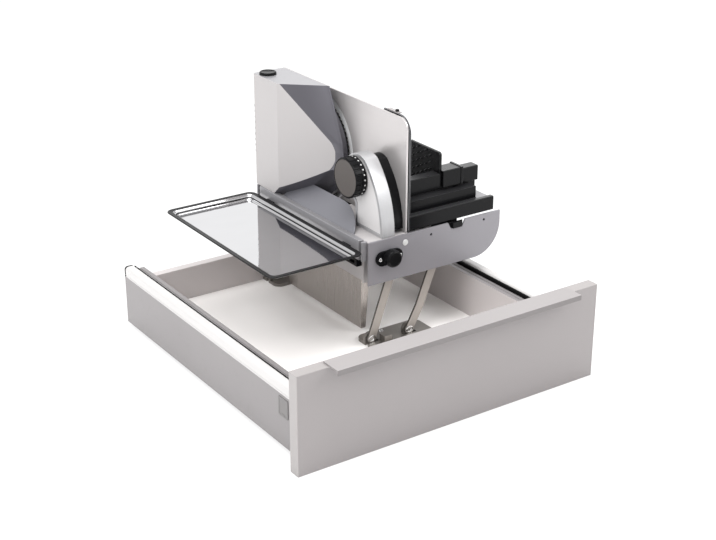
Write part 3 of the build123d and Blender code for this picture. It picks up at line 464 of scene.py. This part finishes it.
# the walls' inner faces take the lighter copy of their paint: painted light
wallAndPaintedLight = ["wall_paint", "wallInner"]
rolledSolids = {
    "drawer_floor": [0.3], "base_body": [0.6], "tray_slot_strip": [0.5], "fence_plate": [0.6],
    "fence_slide": [0.8], "table_pan": [0.4], "frame_latch": [0.5], "carriage_rails": [0.5],
    "tray_hooks": [0.6], "motor_can": [0.8], "switch_body": [0.5], "shaft_bearings": [0.4],
    "cord_inlet": [0.4], "fence_arch": [0.9],
    # the finger guard's rolled edges take the lighter black: painted highlight
    "finger_guard": [0.9, ["black_plastic", "blackEdge"]],
    "carriage_base": [0.9, blackAndPaintedTopSheen, looksUp],
    "pusher_rail": [0.9, blackAndPaintedTopSheen, looksUp],
    "pusher_sleeve": [0.9, blackAndPaintedTopSheen, looksUp],
    "side_plate_front": [0.7, ["plateLilac"]],
    "side_plate_rear": [0.7, ["plateLilac"]],
    "floor_bracket_front": [0.5, ["bracketSteel"]],
    "floor_bracket_rear": [0.5, ["bracketSteel"]],
    "left_arm_front": [0.4, armAndPaintedShade, looksLeft],
    "left_arm_rear": [0.4, armAndPaintedShade, looksLeft],
    "right_arm_front": [0.4, armAndPaintedShade, looksLeft],
    "right_arm_rear": [0.4, armAndPaintedShade, looksLeft],
    # the gear plate's faces that look down or aside take the dark copy of the paint: painted shade
    "gear_plate": [0.4, ["silver_paint", "noseGrey"], looksDownOrAside],
    "arch_cover": [0.5, ["archFace"]],
    "apron": [0.35, ["apronSteel"]],
    "rim_bar": [0.9, ["rimBar"]],
    "back_panel": [0.6, ["wallInner"]],
    "left_wall": [0.5, wallAndPaintedLight, looksRight],
    "right_wall": [0.5, wallAndPaintedLight, looksLeft]}


def dressSolids():
    for node, look in rolledSolids.items():
        dressed(node, *look)


tower = {"edge": 1.4, "slope": (56, -50), "vents": 9, "ventPitch": 9, "ventLow": 245, "ventHeight": 3.2,
         "corner": (249, 487.5), "ventOut": 4.12, "ventIn": 3.2}


# the shell's light skin with its darker top; its cut-away side, whose run from above is the slope, and its
# right-facing faces in painted shade, and black strips round its back corner as painted shade in the vent
# slots
def dressTower():
    length = math.hypot(*tower["slope"])
    across = Vector((-tower["slope"][1] / length, tower["slope"][0] / length, 0))
    along = Vector((tower["slope"][0] / length, tower["slope"][1] / length, 0))

    # tops take the rim bar's paint; right-facing faces and the cut-away side take the dark copy of the paint:
    # painted shade
    def choose(face):
        n = face.normal
        if n.z > 0.8:
            return 2
        return 1 if n.x > 0.9 or (abs(n.dot(along)) < 0.08 and n.dot(across) < -0.25) else 0

    dressed("tower_shell", tower["edge"], ["silver_paint", "noseGrey", "rimBar"], choose, 3)
    # black strips in place of the vent slots: painted shade of their openings
    slots = bmesh.new()
    for i in range(tower["vents"]):
        z = tower["ventLow"] + i * tower["ventPitch"]
        ring = onArc(tower["corner"], tower["ventOut"], 100, 170, 10)
        ring += onArc(tower["corner"], tower["ventIn"], 170, 100, 10)
        addPrism(slots, ring, "top", z, z + tower["ventHeight"])
    piece("towerVentShade", slots, "slicer", "black_plastic", ["seal"])


frontPanel = {"height": 143, "depth": 18, "band": 1.0, "sunk": 0.15, "coreEdge": 0.3, "bandEdge": 0.4}


# the painted board and the thin bands glued round its edges, the bands in a lighter tone as a painted
# highlight along the edges
def buildFront():
    core = bmesh.new()
    w, h, d, b = drawer["width"], frontPanel["height"], frontPanel["depth"], frontPanel["band"]
    addBar(core, b, w - b, -d + frontPanel["sunk"], 0, b, h - b)
    soften(core, frontPanel["coreEdge"])
    piece("frontCore", core, "drawer", "front_paint", None, ("front_panel",))
    bands = bmesh.new()
    for x0, x1, z0, z1 in ((0, b, 0, h), (w - b, w, 0, h), (b, w - b, 0, b), (b, w - b, h - b, h)):
        addBar(bands, x0, x1, -d, 0, z0, z1)
    soften(bands, frontPanel["bandEdge"])
    piece("frontEdgeBands", bands, "drawer", "front_paint", ["edgeBandPaintedHighlight"])


grip = {"start": 48, "end": 450, "nose": -37, "top": 145.4, "skin": 2.4, "lip": 137.4, "fold": 1.2}


# the folded edge profile that lies on the front and turns down over it, with painted shade on its nose face
def buildGrip():
    nose, top, skin, lip, fold = (grip[k] for k in ("nose", "top", "skin", "lip", "fold"))
    outline = [(-4, top - skin), (-4, top - 0.5), (-4.5, top)]
    outline += onArc((nose + fold, top - fold), fold, 90, 180, 18)
    outline += [(nose, lip + 0.5), (nose + 0.5, lip), (nose + skin - 0.5, lip), (nose + skin, lip + 0.5),
                (nose + skin, top - skin - 1), (nose + skin + 1, top - skin)]
    strip = bmesh.new()
    # the nose's forward-facing face takes the darker copy: painted shade
    for face in addPrism(strip, outline, "side", grip["start"], grip["end"]):
        face.normal_update()
        middle = face.calc_center_median()
        face.material_index = int(abs(face.normal.y) > 0.7 and middle.y < at(0, nose + 0.6, 0).y)
    piece("gripStrip", strip, "drawer", "trim_aluminium", ["trim_aluminium", "gripNosePaintedShade"], ("grip_strip",), 25)


# the outlines of the black strip in the groove, which paints its shade, and of the sill start at the rail's
# inner foot
rail = {"x0": 20.2, "width": 15.8, "low": 82, "top": 97.8, "round": 5, "cap": 4, "gap": 0.2, "foot": 36.05,
        "seal": [(0, 0.02), (2.6, 0.02), (2.6, 12.6), (1.9, 13.4), (0, 13.6)],
        "sill": [(2.7, 0.02), (9.6, 0.02), (9.6, 6.6), (8.6, 8.2), (6.2, 8.8), (3.7, 8.2), (2.7, 6.6)]}


# round-shouldered rails with dark end caps, and on each one's inner side a black strip that paints the shade
# in the groove, and a sill in the wall's paint
def buildRails():
    r, low, top, gap = rail["round"], rail["low"], rail["top"], rail["gap"]
    capFront = drawer["back"] - rail["cap"]
    for side, node, sign in (("left", "left_rail", 1), ("right", "right_rail", -1)):
        x0, x1, foot = rail["x0"], rail["x0"] + rail["width"], rail["foot"]
        if side == "right":
            x0, x1, foot = drawer["width"] - x1, drawer["width"] - x0, drawer["width"] - foot
        outline = [(x1, low)]
        outline += onArc((x1 - r, top - r), r, 0, 90, 10) + onArc((x0 + r, top - r), r, 90, 180, 10)
        outline += [(x0, low + 3.4), (x0 + 0.5, low + 3), (x0 + 0.5, low + 2), (x0, low + 1.6), (x0, low)]
        bar = bmesh.new()
        addPrism(bar, outline, "front", gap, capFront)
        piece(side + "RailBar", bar, "drawer", "rail_white", None, (node,), 30)
        cap = bmesh.new()
        mid = (x0 + x1) / 2
        small = [(mid + (a - mid) * 0.985, low + (b - low) * 0.99) for a, b in outline]
        addPrism(cap, small, "front", capFront + gap, drawer["back"])
        soften(cap, 0.6)
        piece(side + "RailCap", cap, "drawer", "black_plastic", ["seal"])
        # a black strip in the groove beside the rail: painted shade
        seal = bmesh.new()
        addPrism(seal, [(foot + sign * a, low + b) for a, b in rail["seal"]], "front", 1, drawer["back"] - 1)
        piece(side + "RailSeal", seal, "drawer", "black_plastic", ["seal"])
        sill = bmesh.new()
        addPrism(sill, [(foot + sign * a, low + b) for a, b in rail["sill"]], "front", 1, drawer["back"] - 1)
        piece(side + "RailSill", sill, "drawer", "wall_paint", None, (), 50)


caps = {"wall": 20.2, "y0": 36, "y1": 60, "z0": 50, "z1": 78, "round": 2.4,
        "ledge": (45.5, 50.5, 52.9, 54.4), "ledgeOut": 0.95}


# cover caps on the walls' outer faces, each with a sunk field and a small ledge to pry it off by
def buildCaps():
    shape = bmesh.new()
    y0, y1, z0, z1 = (caps[k] for k in ("y0", "y1", "z0", "z1"))
    for sign, x in ((-1, caps["wall"]), (1, drawer["width"] - caps["wall"])):
        rings = []
        for inset, lift in ((0, 0.02), (0, 0.7), (0.5, 1.0), (2.6, 1.0), (3.2, 0.55), (11, 0.5)):
            ring = roundedOutline(y0 + inset, y1 - inset, z0 + inset, z1 - inset,
                                  max(0.4, caps["round"] - inset * 0.4))
            rings.append([at(x + sign * lift, a, b) for a, b in ring])
        addSkin(shape, rings, (False, True))
        addBar(shape, *sorted((x, x + sign * caps["ledgeOut"])), *caps["ledge"])
    piece("coverCaps", shape, "drawer", "cap_grey", None, ("cover_caps",), 30)


# a round head with a six-lobed drive
def addHead(shape, x, y, z, axis, sign, radius, height, drive=0.52):
    dome = [(0, radius), (height * 0.55, radius), (height * 0.9, radius * 0.88), (height, radius * 0.72)]
    addTurned(shape, (x, y, z), axis, [(a * sign, r) for a, r in dome], 24, (True, False))
    inner = [(height, radius * 0.72), (height, radius * drive), (height * 0.35, radius * drive * 0.92)]

    def wave(angle, along, r):
        return 1 if r > radius * 0.7 else 1 + 0.13 * math.cos(6 * angle)

    addTurned(shape, (x, y, z), axis, [(a * sign, r) for a, r in inner], 24, (False, True), wave)


screws = {"places": [(269, 179), (356, 179), (295, 220), (349, 220), (295, 460), (349, 460)], "seat": 29,
          "radius": 3.6, "height": 2.2}


# the screws that hold both brackets to the floor
def buildScrews():
    heads = bmesh.new()
    for x, y in screws["places"]:
        addHead(heads, x, y, screws["seat"], "Z", 1, screws["radius"], screws["height"])
    piece("bracketScrewHeads", heads, "drawer", "bright_steel", None, ("bracket_screws",))


# x, front face and shank radius of the front pins; the rear pair mirrors them about middle
footPins = {"places": [(328, 193.8, 4), (264, 198.8, 5)], "z": 34, "middle": 340, "head": 6.5, "length": 9.2}


# the pins that the arms turn on at their feet
def buildFootPins():
    pins = bmesh.new()
    for x, y, radius in footPins["places"]:
        for place, sign in ((y, -1), (2 * footPins["middle"] - y, 1)):
            addHead(pins, x, place, footPins["z"], "Y", sign, footPins["head"], 1, 0.42)
            shank = [(0, radius), (-sign * footPins["length"], radius)]
            addTurned(pins, (x, place, footPins["z"]), "Y", shank, 24)
    piece("footPinHeads", pins, "drawer", "bright_steel", None, ("foot_pins",))


rivets = {"places": [(361.7, 179.4), (459.5, 181.2)], "face": 190,
          "dish": [(0.5, 1.9), (0.4, 1.5), (0.15, 0.9), (0.05, 0)]}


# two small sunk rivets in the front side plate
def buildRivets():
    shape = bmesh.new()
    for x, z in rivets["places"]:
        addTurned(shape, (x, rivets["face"], z), "Y", rivets["dish"], 20, (True, False))
    piece("plateRivets", shape, "table", "bright_steel", ["rimDark"])


hinge = {"z": 162, "seat": 190, "thick": 3, "flange": (274, 298), "round": 11, "boss": 288,
         "rear": (292, 503.5), "screws": (270, 304.3), "screw": 2.9, "stud": (315, 177.6), "studRadius": 4.6}


# the oval flange with its ribbed round boss, two bright screws and the white stop stud, and the rear cap
def buildHinge():
    shape = bmesh.new()
    z, seat = hinge["z"], hinge["seat"]
    plate = seat - hinge["thick"]
    left, right = hinge["flange"]
    outline = onArc((right, z), hinge["round"], -90, 90, 12) + onArc((left, z), hinge["round"], 90, 270, 12)
    addPrism(shape, outline, "front", plate, seat)
    soften(shape, 0.9, 3, 40)
    boss = [(-2.8, 13.0), (-3.6, 12.2), (-4.4, 12.2), (-5.2, 13.0), (-11.6, 12.8), (-13.2, 12.0),
            (-14.0, 10.2), (-13.5, 9.2), (-13.5, 0)]

    def ribs(angle, along, r):
        return 1 - 0.025 * (abs(math.sin(10 * angle)) > 0.75) if -11.7 < along < -5 else 1

    addTurned(shape, (hinge["boss"], seat, z), "Y", boss, 80, (True, False), ribs)
    addTurned(shape, (*hinge["rear"], z), "Y", [(0, 10), (0.9, 10), (1.4, 9.2), (1.5, 0)], 40, (True, False))
    piece("hingeFlange", shape, "table", "black_plastic", None, ("hinge_flanges",), 40)
    bright = bmesh.new()
    for x in hinge["screws"]:
        addHead(bright, x, plate, z, "Y", -1, hinge["screw"], 1.2)
    (x, high), r = hinge["stud"], hinge["studRadius"]
    dome = [(0, r), (-0.8, r), (-1.2, r - 0.6), (-1.2, 0)]
    stud = addTurned(bright, (x, seat, high), "Y", dome, 32, (True, False))
    for face in stud:
        face.material_index = 1
    piece("flangeScrews", bright, "table", "bright_steel", ["bright_steel", "dotWhite"], ("flange_screws",))


button = {"x": 261.5, "y": 474, "low": 362, "top": 373, "radius": 13}


# the push button: a rolled rim, a dished top and a stem
def buildButton():
    shape = bmesh.new()
    r, top = button["radius"], button["top"] - button["low"]
    profile = [(-9, 3), (0, 3), (0, r - 0.4), (0.4, r), (top - 1.2, r), (top - 0.3, r - 0.7), (top, r - 1.8),
               (top - 0.2, r - 2.6), (top - 0.9, r - 3.2), (top - 1.4, r - 7), (top - 1.6, 0)]
    addTurned(shape, (button["x"], button["y"], button["low"]), "Z", profile, 64, (True, False))
    piece("switchButton", shape, "switch", "black_plastic", None, ("switch_button",), 40)


blade = {"x": 319, "radius": 85, "thick": 2.0, "bevel": 9, "shaft": 6, "shaftLength": 59}


# the round knife with its ground bevel and sunk middle, then its shaft and the slotted nut
def buildBlade():
    centre = (blade["x"], bladeAxis["y"], bladeAxis["z"])
    knife = bmesh.new()
    r, t, s = blade["radius"], blade["thick"], blade["shaft"]
    profile = [(0, s), (0, 22), (0.5, 24), (0.5, 52), (0, 55), (0, r - blade["bevel"]), (t - 0.4, r), (t, r),
               (t, 55), (t - 0.4, 53), (t - 0.4, 24), (t, 22), (t, s), (0, s)]
    addTurned(knife, centre, "X", profile, 160, (False, False))
    piece("knife", knife, "blade", "bright_steel", ["bladeSteel"], ("blade",), 12)
    hub = bmesh.new()
    addTurned(hub, centre, "X", [(-blade["shaftLength"], s), (t, s)], 40)

    def slots(angle, along, radius):
        return 1 - 0.10 * (abs(math.sin(1.5 * angle)) > 0.97) if radius > 12 else 1

    nut = [(t, 14), (t + 0.9, 14), (t + 1.5, 13.2), (t + 1.5, 8), (t + 1.2, 7.2), (t + 1.2, 0)]
    addTurned(hub, centre, "X", nut, 96, (True, False), slots)
    piece("bladeShaft", hub, "blade", "bright_steel", None, ("blade_shaft",), 35)


guard = {"back": 303.5, "front": 313.5, "radius": 80, "inner": 76, "floor": 3, "bore": 6.05,
         "seal": 3.5, "teeth": 75}


# the dished ring behind the knife, and the toothed black seal on its rim
def buildGuard():
    back, front, r, inner, bore = (guard[k] for k in ("back", "front", "radius", "inner", "bore"))
    centre = (0, bladeAxis["y"], bladeAxis["z"])
    floor, tip = back + guard["floor"], front + guard["seal"]
    ring = bmesh.new()
    profile = [(back, bore), (back, r), (front, r), (front, inner), (floor, inner), (floor, bore),
               (back, bore)]
    addTurned(ring, centre, "X", profile, 180, (False, False))
    # the ring takes the dark copy of the tower's paint: painted shade
    piece("guardRing", ring, "slicer", "chute_grey", ["noseGrey"], ("guard_ring",), 30)

    def teeth(angle, along, radius):
        rim = radius > r - 1 and along > front + 1.5
        return 1 - 0.02 * (math.sin(guard["teeth"] * angle) > 0) if rim else 1

    seal = bmesh.new()
    profile = [(front, inner), (front, r), (front + 1.5, r), (front + 1.7, r), (tip, r - 0.4),
               (tip, inner + 0.4), (tip - 0.4, inner), (front, inner)]
    addTurned(seal, centre, "X", profile, 600, (False, False), teeth)
    piece("guardSeal", seal, "slicer", "black_plastic", ["seal"], ("guard_seal",), 30)


dial = {"x": 276.7, "y": 260, "z": 266, "radius": 30, "face": 27.4, "thick": 18.7, "bore": 5.2,
        "dots": 24, "firstDot": 100, "dotRow": 4.2, "dot": 1.4, "spindle": 5, "spindleLength": 26.8}


# the thickness knob: a fluted black ring with a white dot at each step, a large matt face and the spindle
def buildDial():
    back, r, face, bore = dial["x"], dial["radius"], dial["face"], dial["bore"]
    front = back - dial["thick"]
    centre = (0, dial["y"], dial["z"])

    def flutes(angle, along, radius):
        return 1 - 0.035 * (abs(math.sin(12 * angle)) > 0.82) if radius > r - 1 and along < back - 8 else 1

    ring = bmesh.new()
    profile = [(back, bore), (back, r - 0.8), (back - 0.8, r), (back - 7.6, r), (back - 7.8, r - 0.5),
               (back - 8.4, r - 0.5), (back - 8.6, r), (front + 1.6, r), (front + 0.4, r - 0.9),
               (front, r - 1.8), (front, face + 0.3), (front + 0.6, face + 0.1), (front + 2.2, face),
               (front + 2.2, bore), (back, bore)]
    addTurned(ring, centre, "X", profile, 240, (False, False), flutes)
    piece("knobRing", ring, "dial", "black_plastic", None, ("knob",), 35)
    disc = bmesh.new()
    profile = [(front + 2.2, face - 0.05), (front + 0.5, face - 0.05), (front + 0.15, face - 0.6),
               (front + 0.3, face - 1.5), (front + 0.45, 14), (front + 0.5, 0)]
    addTurned(disc, centre, "X", profile, 96, (True, False))
    piece("knobFace", disc, "dial", "knob_grey", None, ("knob_face",), 35)
    dots = bmesh.new()
    for i in range(dial["dots"]):
        angle = math.radians(dial["firstDot"] + 360 * i / dial["dots"])
        y, z = math.cos(angle), math.sin(angle)
        rings = []
        for lift, size in ((-0.1, dial["dot"]), (0.12, dial["dot"]), (0.2, dial["dot"] - 0.3)):
            reach = r - 0.18 + lift
            loop = onArc((0, 0), size, 0, 360, 360 / 14)[:-1]
            rings.append([at(back - dial["dotRow"] + deep, dial["y"] + y * reach - z * side,
                             dial["z"] + z * reach + y * side) for side, deep in loop])
        addSkin(dots, rings)
    piece("knobDots", dots, "dial", "black_plastic", ["dotWhite"])
    spindle = bmesh.new()
    end, s = back + dial["spindleLength"], dial["spindle"]
    addTurned(spindle, centre, "X", [(back, s), (end - 0.5, s), (end, s - 0.6)], 40)
    piece("knobSpindle", spindle, "dial", "bright_steel", None, ("knob_spindle",))


chute = {"low": 190, "slope": 24 / 29, "far": 421.5, "lip": 2.6,
         "edge": [(253, 229), (276, 264), (282, 295)], "stations": 36}


# the centre of the circle through three points
def circleCentre(points):
    (x0, y0), (x1, y1), (x2, y2) = points
    d = 2 * (x0 * (y1 - y2) + x1 * (y2 - y0) + x2 * (y0 - y1))
    a, b, c = x0 * x0 + y0 * y0, x1 * x1 + y1 * y1, x2 * x2 + y2 * y2
    return ((a * (y1 - y2) + b * (y2 - y0) + c * (y0 - y1)) / d,
            (a * (x2 - x1) + b * (x0 - x2) + c * (x1 - x0)) / d)


# the slide for slices: it rises towards the blade and is rolled down along its curved edge
def buildChute():
    cx, cy = circleCentre(chute["edge"])
    start, end = chute["edge"][0], chute["edge"][-1]
    reach = math.hypot(start[0] - cx, start[1] - cy)
    first, last = (math.atan2(y - cy, x - cx) for x, y in (start, end))
    shape = bmesh.new()
    rings = []
    count = chute["stations"]
    for i in range(count + 1):
        angle = first + (last - first) * i / count
        x, edge = cx + reach * math.cos(angle), cy + reach * math.sin(angle)
        crown = chute["low"] + 1 + chute["slope"] * (x - start[0])
        lip = min(chute["lip"], crown - chute["low"] - 0.4)
        row = [at(x, edge, chute["low"] + 0.02)]
        for turn in range(0, 91, 15):
            back = lip * (1 - math.cos(math.radians(turn)))
            row.append(at(x, edge + back, crown - lip * (1 - math.sin(math.radians(turn)))))
        for step in range(1, 9):
            row.append(at(x, edge + lip + (chute["far"] - edge - lip) * step / 8, crown))
        row.append(at(x, chute["far"], chute["low"] + 0.02))
        rings.append(row)
    addSkin(shape, rings)
    piece("chuteSlide", shape, "slicer", "chute_grey", None, ("chute",), 50)


# dark lists the rings between two rows of the profile that are painted near-black as a painted reflection of
# dark things
tray = {"x0": 85, "x1": 239, "y0": 182, "y1": 492, "top": 180, "round": 12, "dark": [*range(8), 12, 13]}


# pressed tray: rolled edge, flat rim, two soft steps and a mirror floor; the edge, the rim and a band on the
# lower step are near-black as a painted reflection
def buildTray():
    shape = bmesh.new()
    x0, x1, y0, y1, top = (tray[k] for k in ("x0", "x1", "y0", "y1", "top"))
    profile = [(1.2, -2.3), (0.35, -1.9), (0.0, -1.1), (0.3, -0.35), (1.0, 0.0), (2.0, -0.2), (2.6, -0.55),
               (6.4, -0.62), (7.2, -0.8), (8.0, -1.6), (8.5, -3.0), (9.4, -3.7), (10.6, -3.85), (11.4, -4.1),
               (12.0, -5.2), (12.5, -6.9), (13.6, -7.6), (15.5, -7.8), (40, -7.75)]
    under = [(40, -9.0), (14.6, -9.0), (12.2, -8.2), (11.0, -6.6), (10.4, -5.0), (8.6, -4.7), (7.4, -3.4),
             (6.6, -1.9), (3.0, -1.75), (2.2, -2.2), (1.2, -2.3)]
    rings = []
    for inset, drop in profile + under:
        corner = max(2.0, tray["round"] - inset * 0.45)
        loop = roundedOutline(x0 + inset, x1 - inset, y0 + inset, y1 - inset, corner, 8)
        rings.append([at(a, b, top + drop) for a, b in loop])
    upper = addSkin(shape, rings[:len(profile)], (False, True))
    addSkin(shape, rings[len(profile):], (True, False))
    for k, face in enumerate(upper[:-1]):
        face.material_index = int(k // len(rings[0]) in tray["dark"])
    addSkin(shape, [rings[-1], rings[0]], (False, False))
    piece("trayDish", shape, "tray", "tray_mirror", ["tray_mirror", "rimDark"], ("tray",), 50)


pusher = {"x0": 400, "x1": 404, "y0": 224, "y1": 300, "low": 199, "top": 287, "notch": (241.3, 255.3),
          "pitch": 10.4, "firstPoint": (246, 205), "rows": 8, "columns": 6}


# the food pusher's plate with its rows of small gripping points; their tips and the plate's rolled edges take
# a lighter black as a painted highlight
def buildPusher():
    x0, x1, y0, y1, low, top = (pusher[k] for k in ("x0", "x1", "y0", "y1", "low", "top"))
    (notchY, notchZ), (firstY, firstZ), pitch = pusher["notch"], pusher["firstPoint"], pusher["pitch"]
    plate = bmesh.new()
    outline = [(notchY, low), (y1 - 2, low), (y1, low + 2), (y1, top - 3), (y1 - 3, top), (y0 + 3, top),
               (y0, top - 3), (y0, notchZ), (notchY, notchZ)]
    addPrism(plate, outline, "side", x0, x1)
    soften(plate, 0.7, finish=1)
    point = [(0.1, 1.9), (-0.5, 1.7), (-2.6, 0.6), (-3.0, 0)]
    for row in range(pusher["rows"]):
        for column in range(pusher["columns"]):
            y = firstY + column * pitch
            z = firstZ + row * pitch + (column % 2) * pitch / 2
            if z < top - 3 and y < y1 - 3:
                for face in addTurned(plate, (x0, y, z), "X", point, 12, (True, False))[24:]:
                    face.material_index = 1
    piece("pusherPlate", plate, "pusher", "black_plastic", ["black_plastic", "blackEdge"],
          ("pusher_plate",), 30)


guardClip = {"x": (323.6, 329.4), "y": (222.2, 248.8), "z": (360, 361.4), "knob": (326.5, 229)}
bedEnd = {"x": (458.5, 478), "y": (205, 239.5), "z": (209.6, 210.3)}


# the finger guard's clip with its small knob, and the grey plate on the end of the carriage's bed
def buildCarriageTrim():
    clip = bmesh.new()
    addBar(clip, *guardClip["x"], *guardClip["y"], *guardClip["z"])
    soften(clip, 0.4)
    piece("guardClipPlate", clip, "carriage", "black_plastic", ["trim_aluminium"], ("guard_clip",))
    plate = bmesh.new()
    addBar(plate, *bedEnd["x"], *bedEnd["y"], *bedEnd["z"])
    soften(plate, 0.3)
    piece("bedEndPlate", plate, "carriage", "black_plastic", ["rimBar"])
    knob = bmesh.new()
    profile = [(0, 2.4), (0.8, 2.9), (2.2, 2.9), (3.0, 2.2), (3.1, 0)]
    addTurned(knob, (*guardClip["knob"], guardClip["z"][1]), "Z", profile, 28, (True, False))
    piece("guardClipKnob", knob, "carriage", "black_plastic")


# every solid takes its slot's finish, and shows it where no piece replaces it
def finishNodes():
    for node, made in frame["nodes"].items():
        made.data.materials.clear()
        made.data.materials.append(finishes[slotOf[node]].material)


# each lamp's place, target, size and power
studio = {"floor": 0.93, "size": 6, "drop": -0.0004, "glow": 0.8, "sky": 1.0, "lamps": {
    "keySoftbox": ((-2.1, -0.7, 2.0), (0, 0, 0.1), 1.7, 38),
    "fillSoftbox": ((1.6, -1.3, 1.7), (0, 0, 0.1), 1.4, 31),
    "backSoftbox": ((1.5, 2.4, 1.45), (-0.1, 0.1, 0.17), 2.2, 7),
    "topSoftbox": ((-0.2, 0.1, 2.2), (0, 0, 0.1), 1.6, 46)}}


# a square softbox that faces its target
def addLamp(name, place, target, size, power):
    lamp = bpy.data.lights.new(name, "AREA")
    lamp.shape = "SQUARE"
    lamp.size = size
    lamp.energy = power
    made = bpy.data.objects.new(name, lamp)
    bpy.context.scene.collection.objects.link(made)
    made.location = place
    made.rotation_euler = (Vector(target) - Vector(place)).to_track_quat("-Z", "Y").to_euler()


# a plain pale floor and sky, both white to the camera, and the softboxes
def buildStudio():
    sheet = bmesh.new()
    for x, y in ((-1, -1), (1, -1), (1, 1), (-1, 1)):
        sheet.verts.new((x * studio["size"], y * studio["size"], studio["drop"]))
    sheet.faces.new(sheet.verts)
    mesh = bpy.data.meshes.new("studioFloor")
    sheet.to_mesh(mesh)
    sheet.free()
    floor = bpy.data.objects.new("studioFloor", mesh)
    bpy.context.scene.collection.objects.link(floor)
    paper = Finish("studioPaper", {"Base Color": (studio["floor"],) * 3 + (1,), "Roughness": 0.8,
                                   "Specular IOR Level": 0.1})
    seen = paper.put("ShaderNodeLightPath", {}, {}, "Is Camera Ray")
    glow = paper.put("ShaderNodeEmission", {}, {"Color": (1, 1, 1, 1), "Strength": 1})
    lit = Wire(paper, paper.shader.outputs[0])
    blend = paper.put("ShaderNodeMixShader", {}, {0: seen * studio["glow"], 1: lit, 2: glow})
    paper.tree.links.new(blend.socket, paper.tree.nodes["Material Output"].inputs["Surface"])
    mesh.materials.append(paper.material)
    world = bpy.data.worlds.new("studioSky")
    bpy.context.scene.world = world
    world.use_nodes = True
    tree = world.node_tree
    path = tree.nodes.new("ShaderNodeLightPath")
    seen = tree.nodes.new("ShaderNodeMath")
    seen.operation = "MAXIMUM"
    tree.links.new(path.outputs["Is Camera Ray"], seen.inputs[0])
    tree.links.new(path.outputs["Is Glossy Ray"], seen.inputs[1])
    blend = tree.nodes.new("ShaderNodeMix")
    blend.data_type = "RGBA"
    tree.links.new(seen.outputs[0], blend.inputs[0])
    blend.inputs[6].default_value = (studio["sky"],) * 3 + (1,)
    blend.inputs[7].default_value = (1, 1, 1, 1)
    tree.links.new(blend.outputs[2], tree.nodes["Background"].inputs["Color"])
    for name, (place, target, size, power) in studio["lamps"].items():
        addLamp(name, place, target, size, power)


view = {"place": (-1.0657, -1.5836, 0.9618), "azimuth": -34.3, "pitch": -23.44, "roll": -0.06, "lens": 72.25,
        "sensor": 36}


# the place and lens that the photograph was taken with, fitted to the drawer's edges
def buildCamera():
    camera = bpy.data.cameras.new("photoCamera")
    camera.lens = view["lens"]
    camera.sensor_width = view["sensor"]
    made = bpy.data.objects.new("photoCamera", camera)
    bpy.context.scene.collection.objects.link(made)
    made.rotation_mode = "XYZ"
    made.location = view["place"]
    made.rotation_euler = [math.radians(a) for a in (90 + view["pitch"], view["roll"], view["azimuth"])]
    bpy.context.scene.camera = made
    bpy.context.scene.view_settings.view_transform = "Standard"


buildCamera()
buildStudio()
finishNodes()
print("stage: camera, lamps and plain finishes")
dressSolids()
dressTower()
print("stage: solids with rolled edges")
buildFront()
buildGrip()
buildRails()
buildCaps()
print("stage: drawer")
buildScrews()
buildFootPins()
buildRivets()
buildHinge()
buildButton()
buildBlade()
buildGuard()
buildDial()
buildChute()
print("stage: slicer")
buildTray()
buildPusher()
buildCarriageTrim()
print("stage: tray and carriage")
